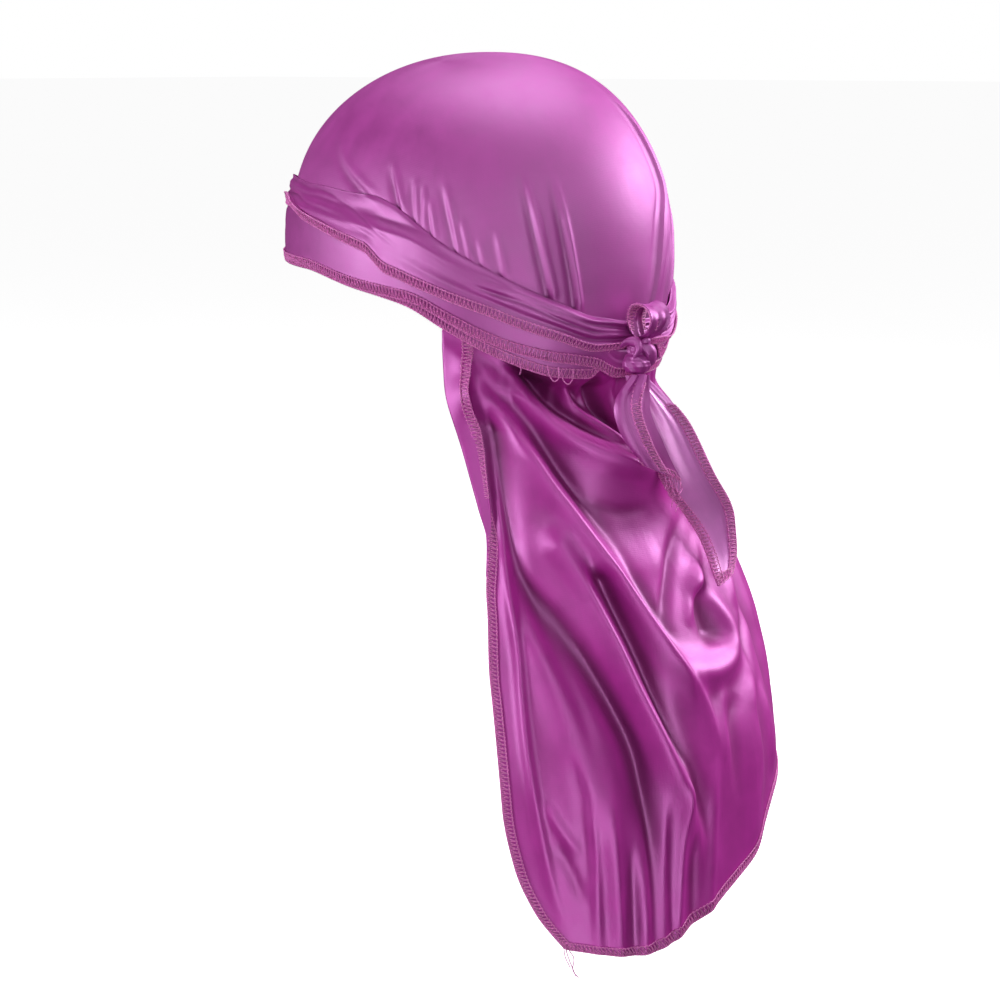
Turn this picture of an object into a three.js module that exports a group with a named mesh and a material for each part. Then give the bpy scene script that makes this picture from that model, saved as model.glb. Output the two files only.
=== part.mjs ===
// A tied durag in satin: a crown of two panels, two long straps wound once round the head,
// their knot with its loop and two loose ends, and a cape that hangs over the neck and back.
// Millimetres, +Z up. The wearer faces -Y and the wearer's left is +X. The origin is the middle
// of the head opening, at the level where the rim passes over the ears.
// Angles are in degrees round the head, from the middle of the back towards the wearer's left.
import * as THREE from 'three';

// Crown
const HEAD_LENGTH = 194;
const HEAD_WIDTH = 156;
const CROWN_HEIGHT = 120;
const WIDEST_LEVEL = 32;
const CROWN_FULLNESS = 2.2;
const CROWN_LEAN = 7;
const LEAN_LEVEL = 70;
const NARROWING_LEVEL = 27;
const NARROWING_SPAN = 60;
const NARROWING = 0.1;
const NARROWING_CURVE = 1.6;
const CROWN_WALL = 1.2;
const FOREHEAD_RISE = 23;
const NAPE_DROP = 24;

// Cape
const CAPE_DROP = 272;
const CAPE_WALL = 1.2;
const CAPE_TUCK = 6;
const CAPE_HALF_ANGLE = 66;
const CAPE_JOIN_MARGIN = 7;
const CAPE_FLARE_LENGTH = 42;
const FOLD_START_LENGTH = 14;
const CAPE_ROW_SPREAD = 1.35;
const FOLD_HEIGHT = 10;
const FOLD_WIDTH = 10;

// Straps, knot and loose ends
const STRAP_WIDTH = 30;
const STRAP_WALL = 1;
const KNOT_ANGLE = 8;
const KNOT_WIDTH = 14;
const KNOT_DEPTH = 12;
const KNOT_HEIGHT = 16;
const KNOT_TOP_LEVEL = -6;
const KNOT_GROOVE = 0.08;
const LOOP_WIDTH = 12;
const LOOP_HEIGHT = 16;
const LOOP_REACH = 17;
const SHORT_END_LENGTH = 48;
const SHORT_END_WIDTH = 17;
const SHORT_END_SEAT = 0.62;
const LONG_END_LENGTH = 96;
const LONG_END_WIDTH = 20;
const LONG_END_SEAT = 0.38;

// The gap between pieces that lie on each other
const GAP = 0.3;

// The rim round the head: rise 1 is the level over the forehead, rise -1 the level at the nape
const RIM_ROWS = [
  { angle: 0, rise: -1.0 },
  { angle: 20, rise: -0.98 },
  { angle: 32, rise: -0.93 },
  { angle: 41, rise: -0.78 },
  { angle: 54, rise: -0.45 },
  { angle: 65, rise: -0.08 },
  { angle: 78, rise: 0.4 },
  { angle: 96, rise: 0.68 },
  { angle: 116, rise: 0.93 },
  { angle: 180, rise: 1.0 },
];

// The centre seam at the back, which swings to the wearer's right and back to the knot.
// Level is a share of the crown's height.
const SEAM_ROWS = [
  { level: -0.2, angle: 4 },
  { level: 0.1, angle: -7 },
  { level: 0.38, angle: -13 },
  { level: 0.52, angle: -19 },
  { level: 0.72, angle: -18 },
  { level: 0.86, angle: -13 },
  { level: 1.0, angle: -6 },
];

// Soft tucks of the crown that run up from the straps. Levels are shares of the crown's height,
// heights are shares of the fold height and widths are in degrees. Each tuck is at its full height
// from the first to the second share of its way up.
const TUCK_FULL = [0.3, 0.5];
const TUCK_ROWS = [
  { top: 93, topLevel: 0.69, foot: 73, footLevel: 0.36, height: 0.1, width: 5 },
  { top: 42, topLevel: 0.54, foot: 33, footLevel: 0.1, height: 0.16, width: 5 },
  { top: 33, topLevel: 0.5, foot: 24, footLevel: 0.07, height: 0.16, width: 5 },
  { top: -40, topLevel: 0.52, foot: -31, footLevel: 0.1, height: 0.12, width: 6 },
];

// Level sections of the cape. Drop is a share of the cape's drop, centre and back are shares of
// half the head's length, left and right are shares of half its width.
const CAPE_SECTIONS = [
  { drop: -0.04, centre: 0.0, back: 0.98, left: 0.985, right: 0.985 },
  { drop: 0.07, centre: 0.02, back: 0.95, left: 0.985, right: 0.985 },
  { drop: 0.22, centre: 0.145, back: 0.905, left: 0.985, right: 1.09 },
  { drop: 0.385, centre: 0.33, back: 0.845, left: 1.0, right: 1.265 },
  { drop: 0.55, centre: 0.485, back: 0.865, left: 1.04, right: 1.41 },
  { drop: 0.755, centre: 0.585, back: 0.895, left: 1.125, right: 1.47 },
  { drop: 1.03, centre: 0.6, back: 0.905, left: 1.125, right: 1.47 },
];

// How far round the cape reaches, from its top edge (0) to its hem (1).
const CAPE_SIDES = [
  { down: 0, left: 1.0, right: 1.0 },
  { down: 0.33, left: 0.97, right: 1.0 },
  { down: 0.46, left: 1.05, right: 1.06 },
  { down: 0.59, left: 1.11, right: 1.12 },
  { down: 0.78, left: 1.09, right: 1.12 },
  { down: 0.87, left: 1.04, right: 1.08 },
  { down: 0.94, left: 0.95, right: 1.02 },
  { down: 1.0, left: 0.82, right: 0.93 },
];

// The hem's level, as a share of the cape's drop.
const HEM_ROWS = [
  { angle: -62, drop: 0.78 },
  { angle: -31, drop: 0.82 },
  { angle: -9, drop: 0.915 },
  { angle: 10, drop: 0.97 },
  { angle: 32, drop: 1.015 },
  { angle: 54, drop: 1.0 },
];

// The cape's main folds, each along a line of [angle, drop]. Heights are shares of the fold
// height, negative for a valley; widths to each side of the line are shares of the fold width.
const FOLD_ROWS = [
  {
    line: [[54, 0.04], [47, 0.075], [37, 0.14], [24, 0.19], [9, 0.227], [-14, 0.27]],
    height: 0.5, toRight: 0.75, toLeft: 1.3,
  },
  {
    line: [[46, 0.05], [34, 0.1], [20, 0.135], [6, 0.165]],
    height: -1.35, toRight: 1.1, toLeft: 0.8,
  },
  {
    line: [[56, 0.107], [47, 0.16], [41, 0.245], [28, 0.353], [18, 0.492], [6, 0.595], [-2, 0.74]],
    height: 0.85, toRight: 0.8, toLeft: 1.3,
  },
  {
    line: [[49, 0.12], [39, 0.215], [24, 0.29], [0, 0.305], [-20, 0.3]],
    height: -0.5, toRight: 0.9, toLeft: 0.6,
  },
  {
    line: [[30, 0.336], [15, 0.35], [-4, 0.371]],
    height: 0.3, toRight: 0.7, toLeft: 0.7,
  },
  {
    line: [[22, 0.41], [10, 0.402], [0, 0.394]],
    height: -0.45, toRight: 0.6, toLeft: 0.6,
  },
  {
    line: [
      [55, 0.17], [58, 0.3], [58, 0.395], [49, 0.484],
      [41, 0.556], [33, 0.645], [28, 0.79], [26, 0.92],
    ],
    height: -0.6, toRight: 0.8, toLeft: 1.0,
  },
  {
    line: [[42, 0.35], [37, 0.412], [33, 0.489], [29, 0.568], [23, 0.653], [15, 0.758], [7, 0.88]],
    height: 0.6, toRight: 0.8, toLeft: 0.9,
  },
  {
    line: [[31, 0.41], [26, 0.519], [18, 0.666], [11, 0.768], [8, 0.86]],
    height: -0.45, toRight: 0.6, toLeft: 0.6,
  },
  {
    line: [[-6, 0.433], [-14, 0.505], [-12, 0.555], [-3, 0.57], [8, 0.55], [13, 0.5]],
    height: 0.5, toRight: 0.7, toLeft: 0.7,
  },
  {
    line: [[-5, 0.46], [-5, 0.51]],
    height: -0.9, toRight: 1.0, toLeft: 1.0,
  },
  {
    line: [[-18, 0.61], [-11, 0.66], [-14, 0.8]],
    height: 0.35, toRight: 0.6, toLeft: 0.6,
  },
  {
    line: [[43, 0.83], [41, 0.92], [40, 1.0]],
    height: 0.3, toRight: 0.6, toLeft: 0.6,
  },
  {
    line: [[60, 0.72], [54, 0.8], [49, 0.87]],
    height: 0.25, toRight: 0.7, toLeft: 0.7,
  },
  {
    line: [[-40, 0.16], [-52, 0.4], [-57, 0.6], [-58, 0.8]],
    height: 0.5, toRight: 0.9, toLeft: 0.8,
  },
  {
    line: [[-28, 0.2], [-36, 0.36], [-39, 0.55], [-40, 0.75]],
    height: -0.35, toRight: 0.8, toLeft: 0.8,
  },
];

// Straps. Angle runs on from the temple, over the nape at 0 and the forehead at -180, to the knot
// near -360. Above is how far the lower edge lies above the rim and width is the strap's width,
// both shares of the strap width. Layer 1 lies on the crown, and each further layer lies on that.
const FIRST_PASS = [
  { angle: 100, above: 0.0, width: 0.86, layer: 1 },
  { angle: 66, above: 0.0, width: 0.8, layer: 1 },
  { angle: 20, above: 0.0, width: 0.7, layer: 1 },
];
const SECOND_PASS = [
  { angle: -20, above: 0.18, width: 0.6, layer: 2 },
  { angle: -32, above: 0.23, width: 0.73, layer: 2 },
  { angle: -48, above: 0.18, width: 0.87, layer: 2 },
  { angle: -70, above: 0.14, width: 0.93, layer: 2 },
  { angle: -82, above: 0.05, width: 0.97, layer: 2 },
  { angle: -95, above: 0.02, width: 0.97, layer: 2 },
  { angle: -130, above: 0.02, width: 0.93, layer: 2 },
  { angle: -148, above: 0.03, width: 0.79, layer: 2 },
];
const THIRD_PASS = [
  { angle: -212, above: 0.92, width: 0.42, layer: 3 },
  { angle: -230, above: 0.92, width: 0.4, layer: 3 },
  { angle: -247, above: 0.73, width: 0.57, layer: 3 },
  { angle: -261, above: 0.68, width: 0.7, layer: 3 },
  { angle: -271, above: 0.62, width: 0.83, layer: 3 },
  { angle: -278, above: 0.4, width: 1.02, layer: 3 },
  { angle: -284, above: 0.38, width: 0.95, layer: 3 },
  { angle: -294, above: 0.47, width: 0.78, layer: 3 },
  { angle: -310, above: 0.58, width: 0.64, layer: 3 },
  { angle: -325, above: 0.57, width: 0.57, layer: 3 },
  { angle: -340, above: 0.42, width: 0.51, layer: 3 },
  { angle: -351, above: 0.45, width: 0.4, layer: 3 },
];
// At the nape the left strap passes above the right one, where each moves one layer out.
const NAPE_CROSSING = {
  left: [
    { angle: 9, above: 0.49, width: 0.37, layer: 1 },
    { angle: -9, above: 0.49, width: 0.37, layer: 2 },
  ],
  right: [
    { angle: 9, above: 0.0, width: 0.42, layer: 1 },
    { angle: -9, above: 0.0, width: 0.42, layer: 2 },
  ],
};
// On the forehead the straps cross in an X, the left one on top.
const FOREHEAD_CROSSING = {
  left: [
    { angle: -163, above: 0.13, width: 0.62, layer: 3 },
    { angle: -180, above: 0.43, width: 0.67, layer: 3 },
    { angle: -197, above: 0.75, width: 0.5, layer: 3 },
  ],
  right: [
    { angle: -163, above: 0.15, width: 0.75, layer: 2 },
    { angle: -180, above: 0.43, width: 0.67, layer: 2 },
    { angle: -197, above: 0.81, width: 0.43, layer: 2 },
  ],
};

// The knot's outline from its foot (0) to its top (1): the main ball and the small turn above it.
const KNOT_ROWS = [
  { rise: 0, radius: 0 },
  { rise: 0.06, radius: 0.55 },
  { rise: 0.18, radius: 0.88 },
  { rise: 0.34, radius: 1.0 },
  { rise: 0.5, radius: 0.86 },
  { rise: 0.62, radius: 0.66 },
  { rise: 0.76, radius: 0.7 },
  { rise: 0.9, radius: 0.5 },
  { rise: 1, radius: 0 },
];

// The loop's middle line between its two feet on the knot, out from the straps and up from the
// knot's top.
const LOOP_ROWS = [
  { out: 0.12, up: 0.22 },
  { out: 0.04, up: 0.55 },
  { out: 0.2, up: 0.9 },
  { out: 0.5, up: 1.0 },
  { out: 0.85, up: 0.88 },
  { out: 1.0, up: 0.58 },
  { out: 0.82, up: 0.24 },
];

// The loose ends below their seat under the knot. Down is a share of the end's length, stand is
// how far the end hangs off the cape's level section, as a share of the knot's depth, width is a
// share of the end's width, and turn is the angle in degrees by which its face looks away from
// straight back.
const SHORT_END_ROWS = [
  { down: 0.0, width: 0.5, turn: 25 },
  { down: 0.3, angle: 14, stand: 0.95, width: 0.85, turn: 35 },
  { down: 0.65, angle: 12.5, stand: 0.95, width: 1.0, turn: 35 },
  { down: 1.0, angle: 7, stand: 0.85, width: 0.6, turn: 30 },
];
const LONG_END_ROWS = [
  { down: 0.0, width: 0.4, turn: 30 },
  { down: 0.22, angle: -1, stand: 0.95, width: 1.0, turn: 40 },
  { down: 0.48, angle: -7, stand: 1.0, width: 1.05, turn: 40 },
  { down: 0.7, angle: -14, stand: 1.0, width: 0.85, turn: 15 },
  { down: 0.88, angle: -15, stand: 0.85, width: 0.75, turn: 0 },
  { down: 1.0, angle: -13, stand: 0.75, width: 0.3, turn: 0 },
];

// How finely each surface is divided, as columns and rows of its grid.
const CROWN_GRID = [24, 11];
const CAPE_GRID = [42, 30];
const STRAP_GRID = [84, 3];
const LOOP_GRID = [22, 2];
const LOOSE_END_GRID = [18, 2];
const KNOT_GRID = [16, 10];
const FOLD_STEPS = 6;

const SATIN = { color: 0x9c3a90, roughness: 0.38, metalness: 0.15, side: THREE.DoubleSide };
const STRAP_SATIN = { color: 0x84307b, roughness: 0.42, metalness: 0.12, side: THREE.DoubleSide };

const radians = THREE.MathUtils.degToRad;
const clamp = THREE.MathUtils.clamp;
const lerp = THREE.MathUtils.lerp;
const smoothstep = THREE.MathUtils.smoothstep;

// Value of one column of a table at a place along another column, on a smooth curve through the
// rows that never overshoots them.
function column(rows, place, key, x) {
  const sign = Math.sign(rows[rows.length - 1][place] - rows[0][place]);
  const at = rows.map((row) => row[place] * sign);
  const value = rows.map((row) => row[key]);
  const last = rows.length - 1;
  const where = clamp(x * sign, at[0], at[last]);
  let k = 0;
  while (k < last - 1 && where > at[k + 1]) {
    k += 1;
  }
  const steep = (i) => (value[i + 1] - value[i]) / (at[i + 1] - at[i]);
  const slope = (i) => {
    if (i === 0 || i === last) {
      return steep(Math.min(i, last - 1));
    }
    const before = steep(i - 1);
    const after = steep(i);
    return before * after > 0 ? (2 * before * after) / (before + after) : 0;
  };
  const span = at[k + 1] - at[k];
  const t = (where - at[k]) / span;
  const start = value[k] * (2 * t ** 3 - 3 * t ** 2 + 1) + slope(k) * span * (t ** 3 - 2 * t ** 2 + t);
  const end = value[k + 1] * (3 * t ** 2 - 2 * t ** 3) + slope(k + 1) * span * (t ** 3 - t ** 2);
  return start + end;
}

// Share of the head's full length and width at a level.
function headScale(level, inset) {
  if (level > WIDEST_LEVEL) {
    const rise = Math.min(1, (level - WIDEST_LEVEL) / (CROWN_HEIGHT - inset - WIDEST_LEVEL));
    return (1 - rise ** CROWN_FULLNESS) ** (1 / CROWN_FULLNESS);
  }
  return 1 - NARROWING * clamp((NARROWING_LEVEL - level) / NARROWING_SPAN, 0, 2) ** NARROWING_CURVE;
}

// Point of the head's form, moved out by a distance; an inset form is that of the wall's inside.
function headPoint(angle, level, out, inset = 0) {
  const scale = headScale(level, inset);
  const lean = CROWN_LEAN * (Math.max(0, level - LEAN_LEVEL) / (CROWN_HEIGHT - LEAN_LEVEL)) ** 2;
  const x = ((HEAD_WIDTH / 2 - inset) * scale + out) * Math.sin(radians(angle));
  const y = ((HEAD_LENGTH / 2 - inset) * scale + out) * Math.cos(radians(angle));
  return new THREE.Vector3(x, y + lean, level);
}

function rimLevel(angle) {
  const turn = Math.abs(((angle % 360) + 540) % 360 - 180);
  const rise = column(RIM_ROWS, 'angle', 'rise', turn);
  return rise * (rise > 0 ? FOREHEAD_RISE : NAPE_DROP);
}

// The crown's lower edge is the rim, and behind the ears it stops short, where the cape joins it.
function crownEdge(angle) {
  const joinEnd = CAPE_HALF_ANGLE + CAPE_JOIN_MARGIN;
  const behind = 1 - smoothstep(Math.abs(angle), joinEnd, joinEnd + CAPE_JOIN_MARGIN);
  return rimLevel(angle) + (CAPE_TUCK + GAP) * behind;
}

// Height of the crown's tucks at a place.
function tuckHeight(angle, level) {
  let height = 0;
  for (const row of TUCK_ROWS) {
    const top = row.topLevel * CROWN_HEIGHT;
    const foot = row.footLevel * CROWN_HEIGHT;
    const up = clamp((level - foot) / (top - foot), 0, 1);
    const off = (angle - lerp(row.foot, row.top, up)) / row.width;
    const fade = smoothstep(up, 0, TUCK_FULL[0]) * (1 - smoothstep(up, TUCK_FULL[1], 1));
    height += row.height * FOLD_HEIGHT * fade * Math.exp(-off * off);
  }
  return height;
}

// Level section of the cape at a level, moved out by a distance.
function capeSection(angle, level, out) {
  const drop = -level / CAPE_DROP;
  const centre = column(CAPE_SECTIONS, 'drop', 'centre', drop) * HEAD_LENGTH / 2;
  const back = column(CAPE_SECTIONS, 'drop', 'back', drop) * HEAD_LENGTH / 2;
  const side = column(CAPE_SECTIONS, 'drop', angle > 0 ? 'left' : 'right', drop) * HEAD_WIDTH / 2;
  const x = (side + out) * Math.sin(radians(angle));
  const y = centre + (back + out) * Math.cos(radians(angle));
  return new THREE.Vector3(x, y, level);
}

// The folds' lines on the flat cloth, in millimetres: right of the wearer, and down.
const CLOTH_PER_DEGREE = radians(1) * HEAD_LENGTH / 2;
const flatten = ([angle, drop]) => new THREE.Vector2(-angle * CLOTH_PER_DEGREE, drop * CAPE_DROP);
const FOLDS = FOLD_ROWS.map((row) => ({
  ...row,
  points: new THREE.SplineCurve(row.line.map(flatten)).getPoints(FOLD_STEPS * (row.line.length - 1)),
}));

// Height of the cape's folds at a place. Each fold is a soft ridge whose two flanks have their
// own widths, and it fades out beyond both ends of its line.
function foldHeight(angle, drop) {
  const place = flatten([angle, drop]);
  let height = 0;
  for (const fold of FOLDS) {
    let nearest = Infinity;
    let side = 0;
    for (let k = 1; k < fold.points.length; k += 1) {
      const from = fold.points[k - 1];
      const step = fold.points[k].clone().sub(from);
      const away = place.clone().sub(from);
      const share = clamp(away.dot(step) / step.lengthSq(), 0, 1);
      const gap = away.clone().addScaledVector(step, -share);
      if (gap.length() < nearest) {
        nearest = gap.length();
        side = step.normalize().cross(away) / Math.max(away.length(), 1e-6);
      }
    }
    const width = lerp(fold.toRight, fold.toLeft, (1 + side) / 2) * FOLD_WIDTH;
    height += fold.height * FOLD_HEIGHT * Math.exp(-((nearest / width) ** 2));
  }
  return height;
}

// A solid from outer and inner grids of points, closed round its edges, with faces outwards.
function wallSolid(outer, inner, [columns, rows]) {
  const points = [];
  for (const surface of [outer, inner]) {
    for (let i = 0; i <= columns; i += 1) {
      for (let j = 0; j <= rows; j += 1) {
        points.push(surface(i / columns, j / rows));
      }
    }
  }
  const stride = rows + 1;
  const layer = (columns + 1) * stride;
  const at = (side, i, j) => side * layer + i * stride + j;
  const quads = [];
  for (let i = 0; i < columns; i += 1) {
    for (let j = 0; j < rows; j += 1) {
      quads.push([at(0, i + 1, j), at(0, i + 1, j + 1), at(0, i, j + 1), at(0, i, j)]);
      quads.push([at(1, i, j + 1), at(1, i + 1, j + 1), at(1, i + 1, j), at(1, i, j)]);
    }
    quads.push([at(0, i, 0), at(1, i, 0), at(1, i + 1, 0), at(0, i + 1, 0)]);
    quads.push([at(0, i, rows), at(0, i + 1, rows), at(1, i + 1, rows), at(1, i, rows)]);
  }
  for (let j = 0; j < rows; j += 1) {
    quads.push([at(0, 0, j), at(0, 0, j + 1), at(1, 0, j + 1), at(1, 0, j)]);
    quads.push([at(0, columns, j), at(1, columns, j), at(1, columns, j + 1), at(0, columns, j + 1)]);
  }
  return closedGeometry(points, quads);
}

// Geometry of a closed solid, turned outwards, without the quads' corners that fall together.
function closedGeometry(points, quads) {
  const triangles = [];
  let volume = 0;
  for (const [a, b, c, d] of quads) {
    for (const corners of [[a, b, c], [a, c, d]]) {
      const [p, q, r] = corners.map((k) => points[k]);
      const folded = Math.min(p.distanceTo(q), q.distanceTo(r), r.distanceTo(p)) < 1e-6;
      if (!folded) {
        triangles.push(corners);
        volume += p.dot(q.clone().cross(r));
      }
    }
  }
  const index = triangles.flatMap((corners) => (volume > 0 ? corners : [...corners].reverse()));
  const places = points.flatMap((point) => point.toArray());
  const geometry = new THREE.BufferGeometry();
  geometry.setAttribute('position', new THREE.Float32BufferAttribute(places, 3));
  geometry.setIndex(index);
  geometry.computeVertexNormals();
  return geometry;
}

function piece(name, geometry, look) {
  const mesh = new THREE.Mesh(geometry, new THREE.MeshStandardMaterial(look));
  mesh.name = name;
  return mesh;
}

// One half of the crown, from the centre seam at the back to the centre seam at the forehead.
function crownPanel(side) {
  const surface = (inset) => (u, v) => {
    const rise = Math.sin(v * Math.PI / 2);
    const reach = (edge) => edge + (CROWN_HEIGHT - inset - edge) * rise;
    const seam = (level) => column(SEAM_ROWS, 'level', 'angle', level / CROWN_HEIGHT);
    const first = seam(reach(crownEdge(0)));
    const angle = lerp(first, side * 180, u);
    const level = reach(crownEdge(angle));
    const out = tuckHeight(angle, level) * (1 - v ** 8);
    const point = headPoint(angle, level, out * headScale(level, inset), inset);
    point.x += side * GAP / 2 * lerp(Math.cos(radians(angle)) ** 2, 1, v ** 6);
    return point;
  };
  return wallSolid(surface(0), surface(CROWN_WALL), CROWN_GRID);
}

// The cape, from its top edge under the crown's to its hem.
function capeShape() {
  const surface = (out) => (u, v) => {
    const down = v ** CAPE_ROW_SPREAD;
    const reach = lerp(
      -CAPE_HALF_ANGLE * column(CAPE_SIDES, 'down', 'right', down),
      CAPE_HALF_ANGLE * column(CAPE_SIDES, 'down', 'left', down),
      u,
    );
    const top = rimLevel(reach) + CAPE_TUCK;
    const hem = -CAPE_DROP * column(HEM_ROWS, 'angle', 'drop', reach);
    const level = lerp(top, hem, down);
    const below = rimLevel(reach) - level;
    const flare = smoothstep(below, -GAP, CAPE_FLARE_LENGTH);
    const fold = foldHeight(reach, -level / CAPE_DROP) * smoothstep(below, 0, FOLD_START_LENGTH);
    const upper = headPoint(reach, level, fold + out);
    return upper.lerp(capeSection(reach, level, fold + out), flare);
  };
  return wallSolid(surface(0), surface(-CAPE_WALL), CAPE_GRID);
}

// Distance from the crown to the middle of a strap in a layer.
const layerOut = (layer) => GAP + STRAP_WALL / 2 + (layer - 1) * (STRAP_WALL + GAP);
const STRAPS_OUT = layerOut(3) + STRAP_WALL / 2;

// One strap, as a ribbon on the head's form.
function strapShape(side, name) {
  const rows = [
    ...FIRST_PASS,
    ...NAPE_CROSSING[name],
    ...SECOND_PASS,
    ...FOREHEAD_CROSSING[name],
    ...THIRD_PASS,
  ];
  const halfGap = THREE.MathUtils.radToDeg(GAP / HEAD_LENGTH);
  const start = rows[0].angle;
  const end = side * KNOT_ANGLE - 360 + halfGap;
  const surface = (half) => (u, v) => {
    const angle = lerp(start, end, u);
    const low = rimLevel(side * angle) + column(rows, 'angle', 'above', angle) * STRAP_WIDTH;
    const level = low + v * column(rows, 'angle', 'width', angle) * STRAP_WIDTH;
    const out = layerOut(column(rows, 'angle', 'layer', angle)) + half * STRAP_WALL / 2;
    return headPoint(side * angle, level, out);
  };
  return wallSolid(surface(1), surface(-1), STRAP_GRID);
}

// Where the knot sits: its foot on the straps, with directions out from the head and along it.
function knotFrame() {
  const top = headPoint(KNOT_ANGLE, KNOT_TOP_LEVEL, STRAPS_OUT + GAP);
  const beside = headPoint(KNOT_ANGLE + 1, KNOT_TOP_LEVEL, STRAPS_OUT + GAP);
  const along = beside.sub(top).setZ(0).normalize();
  const out = new THREE.Vector3(-along.y, along.x, 0);
  return { top, along, out };
}

const KNOT = knotFrame();
const knotPlace = (along, out, up) => KNOT.top.clone()
  .addScaledVector(KNOT.along, along)
  .addScaledVector(KNOT.out, out)
  .setZ(KNOT_TOP_LEVEL + up);

// The knot: a ball with a smaller turn above it, and a shallow groove where the strap wraps it.
function knotShape() {
  const [around, levels] = KNOT_GRID;
  const points = [];
  const quads = [];
  for (let j = 0; j <= levels; j += 1) {
    const rise = (1 - Math.cos(Math.PI * j / levels)) / 2;
    const radius = column(KNOT_ROWS, 'rise', 'radius', rise);
    for (let i = 0; i < around; i += 1) {
      const turn = 2 * Math.PI * i / around;
      const groove = 1 - KNOT_GROOVE * (1 + Math.cos(3 * turn + 5 * rise)) / 2;
      const along = KNOT_WIDTH / 2 * radius * groove * Math.cos(turn);
      const out = KNOT_DEPTH / 2 * (1 + radius * groove * Math.sin(turn));
      points.push(knotPlace(along, out, (rise - 1) * KNOT_HEIGHT));
    }
  }
  const at = (i, j) => j * around + i % around;
  for (let j = 0; j < levels; j += 1) {
    for (let i = 0; i < around; i += 1) {
      quads.push([at(i, j), at(i + 1, j), at(i + 1, j + 1), at(i, j + 1)]);
    }
  }
  return closedGeometry(points, quads);
}

// A ribbon along a curve, with its width and face direction at each place.
function ribbonSolid(curve, acrossAt, widthAt, grid) {
  const surface = (half) => (u, v) => {
    const across = acrossAt(u);
    const face = curve.getTangent(u).cross(across).normalize();
    return curve.getPoint(u)
      .addScaledVector(across, (v - 0.5) * widthAt(u))
      .addScaledVector(face, half * STRAP_WALL / 2);
  };
  return wallSolid(surface(1), surface(-1), grid);
}

// The loop above the knot, a ribbon that stands out from the head and comes back to the knot.
function loopShape() {
  const aside = -LOOP_WIDTH / 4;
  const points = LOOP_ROWS.map((row) => knotPlace(
    aside,
    GAP + STRAP_WALL / 2 + row.out * LOOP_REACH,
    GAP + row.up * LOOP_HEIGHT,
  ));
  const firstFoot = knotPlace(aside, KNOT_DEPTH / 2 - STRAP_WALL, GAP);
  const lastFoot = knotPlace(aside, KNOT_DEPTH / 2 + STRAP_WALL, GAP);
  const curve = new THREE.CatmullRomCurve3([firstFoot, ...points, lastFoot]);
  return ribbonSolid(curve, () => KNOT.along, () => LOOP_WIDTH, LOOP_GRID);
}

// A loose end, which starts under the knot and hangs clear of the cape.
function looseEnd(rows, length, width, seat) {
  const foot = -KNOT_HEIGHT - GAP;
  const start = knotPlace(0, seat * KNOT_DEPTH, foot);
  const points = rows.slice(1).map((row) => (
    capeSection(row.angle, start.z - row.down * length, row.stand * KNOT_DEPTH)
  ));
  const curve = new THREE.CatmullRomCurve3([start, ...points]);
  const across = (u) => {
    const turn = radians(column(rows, 'down', 'turn', u));
    return new THREE.Vector3(-Math.cos(turn), Math.sin(turn), 0);
  };
  const widthAt = (u) => column(rows, 'down', 'width', u) * width;
  return ribbonSolid(curve, across, widthAt, LOOSE_END_GRID);
}

const shortEnd = looseEnd(SHORT_END_ROWS, SHORT_END_LENGTH, SHORT_END_WIDTH, SHORT_END_SEAT);
const longEnd = looseEnd(LONG_END_ROWS, LONG_END_LENGTH, LONG_END_WIDTH, LONG_END_SEAT);

const durag = new THREE.Group();
durag.add(
  piece('crown_left', crownPanel(1), SATIN),
  piece('crown_right', crownPanel(-1), SATIN),
  piece('cape', capeShape(), SATIN),
  piece('strap_left', strapShape(1, 'left'), STRAP_SATIN),
  piece('strap_right', strapShape(-1, 'right'), STRAP_SATIN),
  piece('knot', knotShape(), STRAP_SATIN),
  piece('knot_loop', loopShape(), STRAP_SATIN),
  piece('tie_end_short', shortEnd, STRAP_SATIN),
  piece('tie_end_long', longEnd, STRAP_SATIN),
);

export default durag;
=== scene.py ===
import math

import bmesh
import bpy
import numpy as np
from bpy.props import FloatProperty, FloatVectorProperty, IntProperty, PointerProperty
from bpy.types import Operator, Panel, PropertyGroup
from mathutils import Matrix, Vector


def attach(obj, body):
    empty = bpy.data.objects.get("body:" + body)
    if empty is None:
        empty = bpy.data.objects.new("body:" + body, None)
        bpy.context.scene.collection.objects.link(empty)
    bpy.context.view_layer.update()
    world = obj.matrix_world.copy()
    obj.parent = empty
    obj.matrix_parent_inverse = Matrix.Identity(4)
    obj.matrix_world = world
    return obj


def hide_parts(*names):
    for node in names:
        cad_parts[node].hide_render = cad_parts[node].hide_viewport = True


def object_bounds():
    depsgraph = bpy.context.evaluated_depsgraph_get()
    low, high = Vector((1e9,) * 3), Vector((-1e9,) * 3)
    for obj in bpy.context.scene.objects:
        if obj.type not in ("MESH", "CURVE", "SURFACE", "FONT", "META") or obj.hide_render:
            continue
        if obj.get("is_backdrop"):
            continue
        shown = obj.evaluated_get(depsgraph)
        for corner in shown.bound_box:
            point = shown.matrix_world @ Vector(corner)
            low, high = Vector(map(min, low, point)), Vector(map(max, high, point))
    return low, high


bl_info = {
    "name": "Tied satin durag",
    "version": (1, 0, 0),
    "blender": (4, 5, 0),
    "location": "View3D > Sidebar > Durag",
    "description": "Cloth, straps, knot, overlock stitching and studio of a tied satin durag",
    "category": "Add Mesh",
}

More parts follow.
